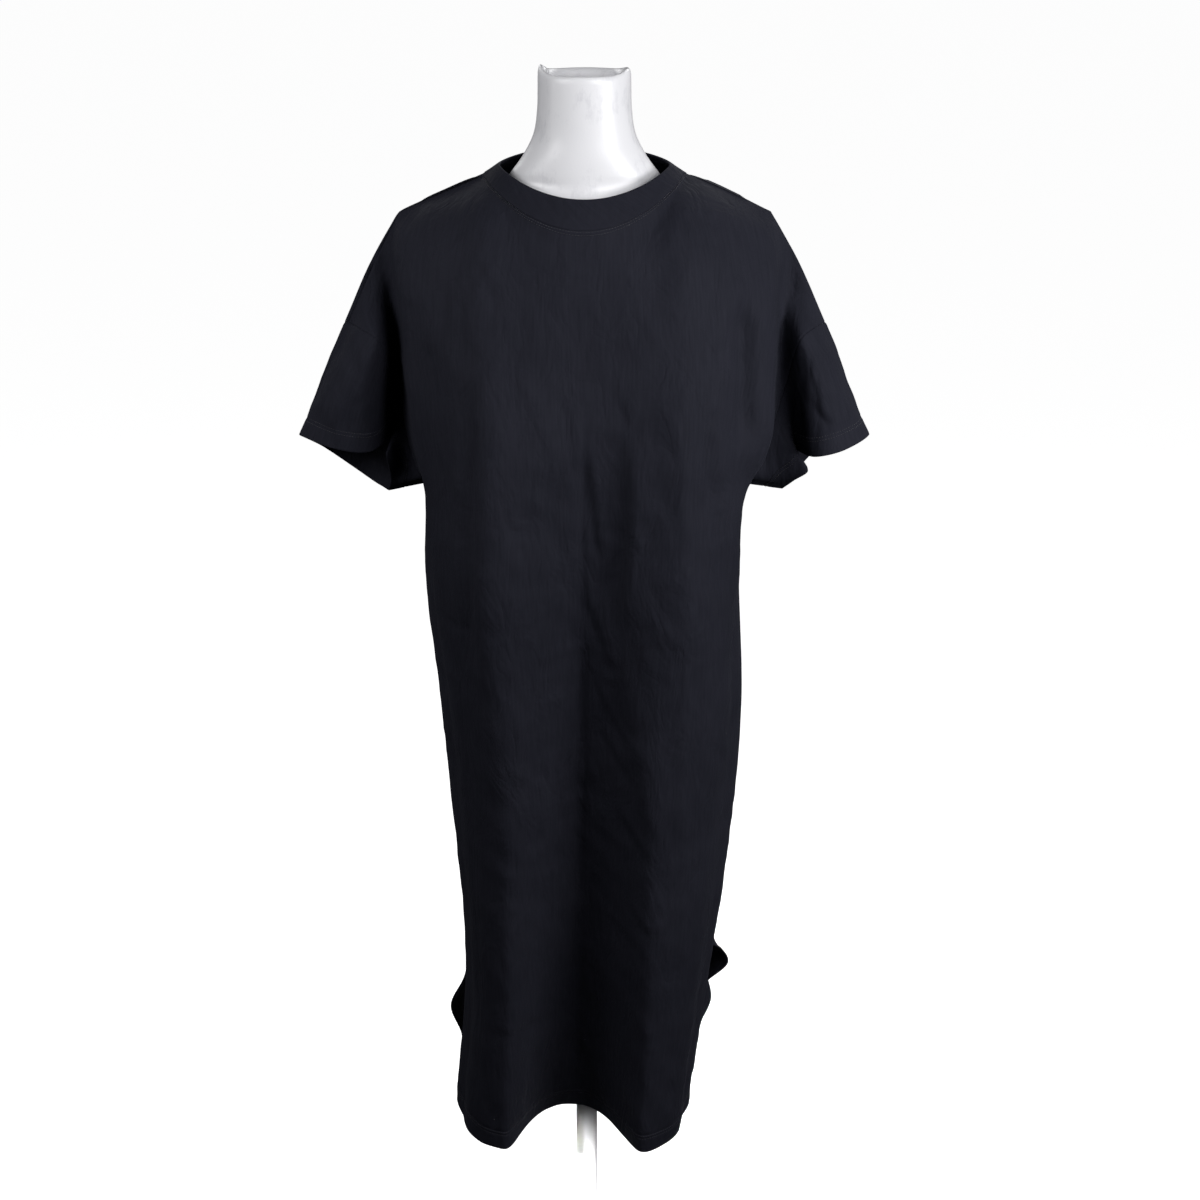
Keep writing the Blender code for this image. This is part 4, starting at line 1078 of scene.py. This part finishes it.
def clothShell(name, outer, inner, flip, ring, finish, uv):
    # Closed wall: the outer grid, the inner grid turned round, and a strip of quads along each edge
    if ring:
        outer, inner, uv = outer[:, :-1], inner[:, :-1], uv[:, :-1]
    rows, columns = outer.shape[:2]
    count = rows * columns
    sheetFaces = gridFaces(rows, columns, ring)
    number = np.arange(count).reshape(rows, columns)
    rims = [number[:, 0], number[::-1, -1]]
    if ring:
        number, rims = np.append(number, number[:, :1], axis=1), []
    rims += [number[0, ::-1], number[-1]]
    strips = [edgeStrip(rim, count) for rim in rims]
    faces = np.concatenate([sheetFaces, sheetFaces[:, ::-1] + count, *strips])
    points = np.concatenate([outer.reshape(-1, 3), inner.reshape(-1, 3)])
    cut = np.concatenate([uv.reshape(-1, 2)] * 2)
    return addMesh(name, points, faces[:, ::-1] if flip else faces, finish, cut, creaseDegrees=65)


front, back = shapePanels()
sleeveLeft, sleeveRight = sleeveGrid(front, back, -1), sleeveGrid(front, back, 1)
band = bandGrid(front, back)
clearBand = offTheForm(band, relief["bandInside"] + dress["restGap"])
band = band + (clearBand - band) * np.linspace(0, 1, len(band))[:, None, None] ** 0.5
print("stage: dress surface shaped,", front.shape, sleeveLeft.shape, band.shape)


def sleeveWaves(grid, normal, seed):
    # The sleeve's creases where it faces the front, and random waves, faded out at its ends
    around = np.linspace(0, 1, grid.shape[1])[None, :]
    down = fromEdge(grid, "low")
    fade = np.clip(down / 0.03, 0, 1) * np.clip(fromEdge(grid, "high") / 0.02, 0.25, 1)
    wrap = np.sin(math.pi * around) ** 0.5
    facing = np.clip(-2.5 * normal[..., 1], 0, 1)
    drawn = creaseHeights(grid[..., 0], grid[..., 2], sleeveCreases) * facing
    waves = dress["sleeveWave"] * smoothNoise(seed, around * 9 + down * 6, down * 14)
    return fade * wrap * (drawn + waves + crumple(seed + 2, 0.4 * around, down, dress["sleeveCrumple"]))


normals = {
    "front": surfaceNormals(front),
    "back": surfaceNormals(back, flip=True),
    "sleeveLeft": surfaceNormals(sleeveLeft, ring=True),
    "sleeveRight": surfaceNormals(sleeveRight, ring=True, flip=True),
    "band": surfaceNormals(band, ring=True),
}
for name, grid, seed in zip(("sleeveLeft", "sleeveRight"), (sleeveLeft, sleeveRight), dress["sleeveSeeds"]):
    grid += normals[name] * sleeveWaves(grid, normals[name], seed)[..., None]
normals["sleeveLeft"] = surfaceNormals(sleeveLeft, ring=True)
normals["sleeveRight"] = surfaceNormals(sleeveRight, ring=True, flip=True)


def sharePair(at):
    # The mean of the two panels' normals at their shared points, at unit length
    mean = unit(normals["front"][at] + normals["back"][at])
    normals["front"][at] = normals["back"][at] = mean


def shareRing(name, at):
    # The same where the first row of a sleeve or of the band meets the panels
    mean = unit(ringOf(normals["front"][at], normals["back"][at]) + normals[name][0])
    mean[0] = mean[-1] = unit(mean[0] + mean[-1])
    count = len(normals["front"][at])
    normals[name][0] = mean
    normals["front"][at] = mean[:count]
    normals["back"][at] = mean[count - 1:][::-1]


# Pieces share their normals wherever they meet
sharePair(np.s_[aboveSlit:lowRow + 1, 0])
sharePair(np.s_[aboveSlit:lowRow + 1, -1])
shareRing("sleeveLeft", np.s_[lowRow:, 0])
shareRing("sleeveRight", np.s_[lowRow:, -1])
sharePair(np.s_[-1, ~neckColumns])
shareRing("band", np.s_[-1, neckColumns])


def rounded(distance, radius, least=0.0):
    # Profile of a rounded edge, sqrt(t (2 - t)), where t is the distance over the radius, from
    # least to 1
    t = distance / radius
    return np.sqrt(np.clip(t, least, 1) * (2 - np.clip(t, 0, 1)))


def turnedEdge(distance, stitches):
    # The rise of a turned edge, less the grooves of its stitching, and the share of the cloth's
    # doubling there, from 1 at the edge to 0 past the upper stitching
    past, over = relief["hemPast"]
    rise = relief["hemRise"] * np.clip((stitches[1] - distance) / relief["riseEnd"], 0, 1)
    for stitch in stitches:
        rise = rise - relief["stitchDepth"] * dip(distance, stitch, relief["stitchWidth"])
    return rise, np.clip((stitches[1] + past - distance) / over, 0, 1)


def bothFaces(grid, normal, thick, lift, shrink, seam):
    # Along the normal, outer = -m + (m + lift) s and inner = -(m + m s), with m half the thickness and
    # s the rounding; the seam's row is then drawn back
    middle = thick / 2
    outer = grid + normal * (-middle + (middle + lift) * shrink)[..., None]
    inner = grid - normal * (middle + middle * shrink)[..., None]
    rim, neighbour = (0, 3) if seam == "low" else (-1, -4)
    drawBack(outer, rim, neighbour, dress["seamGap"] / 2)
    drawBack(inner, rim, neighbour, dress["lining"])
    return outer, inner


def buildPanel(name, grid, normal, flip):
    # Wall of jersey with a turned hem and slit edges, grooves under the stitching and at the seams
    top = fromEdge(grid, "high")
    hem = fromEdge(grid, "low")
    side = np.minimum(fromEdge(grid, "left"), fromEdge(grid, "right"))
    slit = (grid[..., 2] < dress["slitTop"] + relief["slitAbove"]).astype(float)
    lift, double = turnedEdge(hem, dress["hemStitch"])
    lift = lift - slit * relief["slitDepth"] * dip(side, dress["slitStitch"], relief["slitWidth"])
    lift = lift - (1 - slit) * relief["seamDepth"] * dip(side, 0, relief["seamWidth"])
    place, height, width = relief["neckRidge"]
    atNeck = height * dip(top, place, width)
    for stitch in dress["neckStitch"]:
        atNeck = atNeck - relief["neckDepth"] * dip(top, stitch, relief["stitchWidth"])
    lift = lift + np.where(neckColumns, atNeck, -relief["seamDepth"] * dip(top, 0, relief["shoulderWidth"]))
    shrink = rounded(hem, relief["round"]) * np.where(slit > 0, rounded(side, relief["slitRound"], 0.02), 1)
    past, over = relief["slitPast"]
    double = np.maximum(double, slit * np.clip((dress["slitStitch"] + past - side) / over, 0, 1))
    thick = dress["cloth"] + (dress["hemCloth"] - dress["cloth"]) * double
    outer, inner = bothFaces(grid, normal, thick, lift, shrink, "high")
    for layer, by in ((outer, dress["seamGap"] / 2), (inner, dress["lining"])):
        for rim, neighbour in ((0, 3), (-1, -4)):
            drawBack(layer, np.s_[aboveSlit:, rim], np.s_[aboveSlit:, neighbour], by)
    return clothShell(name, outer, inner, flip, False, blackJersey, cutMap(grid)), outer


def buildRing(name, grid, normal, flip, thick, lift, shrink, finish):
    # A closed ring of cloth, sewn on at its first row
    outer, inner = bothFaces(grid, normal, thick, lift, shrink, "low")
    outer[:, -1], inner[:, -1] = outer[:, 0], inner[:, 0]
    return clothShell(name, outer, inner, flip, True, finish, cutMap(grid)), outer


def buildSleeve(name, grid, normal, flip):
    # Wall of jersey with a turned cuff, and a groove at the armhole seam
    cuff, seam = fromEdge(grid, "high"), fromEdge(grid, "low")
    lift, double = turnedEdge(cuff, dress["cuffStitch"])
    lift = lift - relief["seamDepth"] * dip(seam, 0, relief["seamWidth"])
    thick = dress["cloth"] + (dress["hemCloth"] - dress["cloth"]) * double
    return buildRing(name, grid, normal, flip, thick, lift, rounded(cuff, relief["round"]), blackJersey)


def buildBand(name, grid, normal):
    # Doubled rib: a rounded fold at its free edge, standing a little proud of the panels
    edge, seam = fromEdge(grid, "high"), fromEdge(grid, "low")
    place, height, width = relief["bandRoll"]
    proud = relief["bandRise"] * np.clip(seam / relief["riseEnd"], 0, 1) + height * dip(edge, place, width)
    shrink = rounded(edge, relief["bandRound"])
    return buildRing(name, grid, normal, False, relief["band"], proud, shrink, blackRib)


frontPiece, frontOuter = buildPanel("dress_front", front, normals["front"], False)
backPiece, backOuter = buildPanel("dress_back", back, normals["back"], True)
leftPiece, leftOuter = buildSleeve("dress_sleeve_left", sleeveLeft, normals["sleeveLeft"], False)
rightPiece, rightOuter = buildSleeve("dress_sleeve_right", sleeveRight, normals["sleeveRight"], True)
bandPiece = buildBand("dress_neckband", band, normals["band"])[0]
for piece, node in ((frontPiece, "front"), (backPiece, "back"), (leftPiece, "sleeve_left"),
                    (rightPiece, "sleeve_right"), (bandPiece, "neckband")):
    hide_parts(node)
print("stage: cloth pieces built")


# Stitching

thread = {"radius": 0.00022, "pitch": 0.0030, "length": 0.0023, "sides": 4, "rings": 5}


def lineOnGrid(grid, normal, edge, distance):
    # The points and normals at a distance from an edge, measured along the cloth
    grid, normal = turnedTo(grid, edge), turnedTo(normal, edge)
    run = runDown(grid)
    after = np.clip((run < distance).sum(axis=0), 1, len(run) - 1)
    column = np.arange(run.shape[1])
    gap = run[after, column] - run[after - 1, column]
    t = np.clip((distance - run[after - 1, column]) / np.maximum(gap, 1e-9), 0, 1)[:, None]
    point, up = (layer[after - 1, column] * (1 - t) + layer[after, column] * t for layer in (grid, normal))
    return point, unit(up)


def stitchPoints(point, normal):
    # Bent tubes along a line: each rises from the cloth, runs over it and dives back, 4h t (1 - t)
    length = np.concatenate([[0], np.cumsum(np.linalg.norm(np.diff(point, axis=0), axis=1))])
    count = int(length[-1] / thread["pitch"])
    start = (np.arange(count) + 0.15) * thread["pitch"]
    t = np.linspace(0, 1, thread["rings"])
    at = start[:, None] + thread["length"] * t
    centre = np.stack([np.interp(at, length, point[:, axis]) for axis in range(3)], axis=-1)
    up = unit(np.stack([np.interp(at, length, normal[:, axis]) for axis in range(3)], axis=-1))
    along = unit(np.gradient(centre, axis=1))
    side = unit(np.cross(along, up))
    arch = thread["radius"] * (4 * t * (1 - t) * 1.3 - 0.9)
    centre = centre + up * arch[None, :, None]
    angle = np.linspace(0, 2 * math.pi, thread["sides"], endpoint=False)
    thin = np.where((t == 0) | (t == 1), 0.35, 1.0)[None, :, None, None] * thread["radius"]
    ring = (side[:, :, None] * np.cos(angle)[:, None] + up[:, :, None] * np.sin(angle)[:, None]) * thin
    return centre[:, :, None] + ring


def buildStitches(name, runs):
    # All the stitches of some lines as one mesh, each tube closed at its ends
    tubes = np.concatenate([stitchPoints(*run) for run in runs])
    count, rings, sides = tubes.shape[:3]
    ends = np.array([[0, 1, 2, 3], [3, 2, 1, 0]])
    ends[1] += (rings - 1) * sides
    one = np.concatenate([gridFaces(rings, sides, ring=True)[:, ::-1], ends])
    quads = (one[None] + np.arange(count)[:, None, None] * rings * sides).reshape(-1, 4)
    piece = addMesh(name, tubes.reshape(-1, 3), quads, blackThread)
    return piece


def edgeRuns(grid, normal, edge, distances, stretch=np.s_[:]):
    # Stitch lines at each distance from one edge, cut to a stretch of it
    found = [lineOnGrid(grid, normal, edge, distance) for distance in distances]
    return [(point[stretch], up[stretch]) for point, up in found]


def sewHem(name, outer, normal):
    # Two lines above the hem, and one beside each slit edge
    runs = edgeRuns(outer, normal, "low", dress["hemStitch"], np.abs(across) < 0.985)
    for side in ("left", "right"):
        runs += edgeRuns(outer, normal, side, [dress["slitStitch"]], np.s_[14:aboveSlit + 3])
    return buildStitches(name, runs)


frontHemThread = sewHem("stitches_hem_front", frontOuter, normals["front"])
backHemThread = sewHem("stitches_hem_back", backOuter, normals["back"])
leftCuffThread = buildStitches("stitches_cuff_left", edgeRuns(
    leftOuter, normals["sleeveLeft"], "high", dress["cuffStitch"]))
rightCuffThread = buildStitches("stitches_cuff_right", edgeRuns(
    rightOuter, normals["sleeveRight"], "high", dress["cuffStitch"]))
frontNeckThread = buildStitches("stitches_neck_front", edgeRuns(
    frontOuter, normals["front"], "high", dress["neckStitch"], neckColumns))
backNeckThread = buildStitches("stitches_neck_back", edgeRuns(
    backOuter, normals["back"], "high", dress["neckStitch"], neckColumns))
print("stage: stitching sewn")


# Floor, light and camera

studio = {
    "floorHalf": 40.0,
    "floorWhite": (0.90, 0.90, 0.91),
    "floorGlow": 0.97,
    "sky": (0.008, 0.008, 0.009),
    "backdrop": (0.96, 0.96, 0.97),
}
# Square soft lights round the dress: turn from the front towards +X, rise, distance, size and watts
lamps = table("turn rise away size power", [
    (60, 10, 1.45, 0.6, 13.2),
    (35, 30, 1.45, 0.6, 9.7),
    (-55, 30, 1.45, 0.6, 8),
    (-80, 10, 1.45, 0.6, 1.8),
    (150, 35, 2.3, 1, 12),
    (-150, 30, 2.3, 1, 9),
])
lampAim = (0.0, -0.06, 1.12)
# A narrow lamp for the stand alone, which the dress keeps the others from
standLamp = {"place": (-0.35, -2.1, 0.42), "aim": (0.0, 0.0, 0.13), "size": 0.06, "power": 0.42,
             "spread": 7.0}
view = {"place": (0.016, -2.32, 1.753), "down": 19.5, "lens": 66.24, "sensor": 36.0}


def addFloor():
    # A wide pale square that glows, so that no horizon shows
    half = studio["floorHalf"]
    finish, tree, shader = newMaterial("paleFloor", Roughness=0.9, Specular_IOR_Level=0.2)
    shader.inputs["Base Color"].default_value = (*studio["floorWhite"], 1)
    shader.inputs["Emission Color"].default_value = (1, 1, 1, 1)
    shader.inputs["Emission Strength"].default_value = studio["floorGlow"]
    mesh = bpy.data.meshes.new("floor")
    corners = [(-half, -half, 0), (half, -half, 0), (half, half, 0), (-half, half, 0)]
    mesh.from_pydata(corners, [], [(0, 1, 2, 3)])
    mesh.materials.append(finish)
    floor = bpy.data.objects.new("floor", mesh)
    bpy.context.scene.collection.objects.link(floor)
    floor.visible_diffuse = False
    floor.visible_glossy = False


def addLight(name, place, aim, size, power, spread=180.0):
    # A square soft light at a place, turned to face its aim
    lamp = bpy.data.lights.new(name, "AREA")
    lamp.size = size
    lamp.energy = power
    lamp.spread = math.radians(spread)
    made = bpy.data.objects.new(name, lamp)
    bpy.context.scene.collection.objects.link(made)
    east, south, high = np.subtract(place, aim) * (1, -1, 1)
    rise = math.atan2(high, math.hypot(east, south))
    made.location = place
    made.rotation_euler = (math.pi / 2 - rise, 0, math.atan2(east, south))


def aroundAim(turn, rise, away):
    # Aim + away * (sin turn cos rise, -cos turn cos rise, sin rise), from angles in degrees
    turn, rise = math.radians(turn), math.radians(rise)
    outward = np.array([math.sin(turn) * math.cos(rise), -math.cos(turn) * math.cos(rise), math.sin(rise)])
    return outward * away + lampAim


def addWorld():
    # Faint light from all round, seen as a pale backdrop
    world = bpy.data.worlds.new("studio")
    bpy.context.scene.world = world
    world.use_nodes = True
    tree = world.node_tree
    seen = addNode(tree, "ShaderNodeLightPath").outputs["Is Camera Ray"]
    mix = addNode(tree, "ShaderNodeMix", [(seen, 0)], data_type="RGBA")
    mix.inputs[6].default_value = (*studio["sky"], 1)
    mix.inputs[7].default_value = (*studio["backdrop"], 1)
    tree.links.new(mix.outputs[2], tree.nodes["Background"].inputs["Color"])


addFloor()
addWorld()
for number, (turn, rise, away, size, power) in enumerate(zip(*lamps.values())):
    addLight(f"lamp_{number}", aroundAim(turn, rise, away), lampAim, size, power)
addLight("lamp_stand", *standLamp.values())
camera = bpy.data.cameras.new("camera")
camera.sensor_width = view["sensor"]
camera.lens = view["lens"]
camera.clip_end = 200
cameraObject = bpy.data.objects.new("camera", camera)
cameraObject.location = view["place"]
cameraObject.rotation_euler = (math.radians(90 - view["down"]), 0, 0)
bpy.context.scene.collection.objects.link(cameraObject)
bpy.context.scene.camera = cameraObject
bpy.context.scene.view_settings.view_transform = "Standard"
print("stage: studio set")
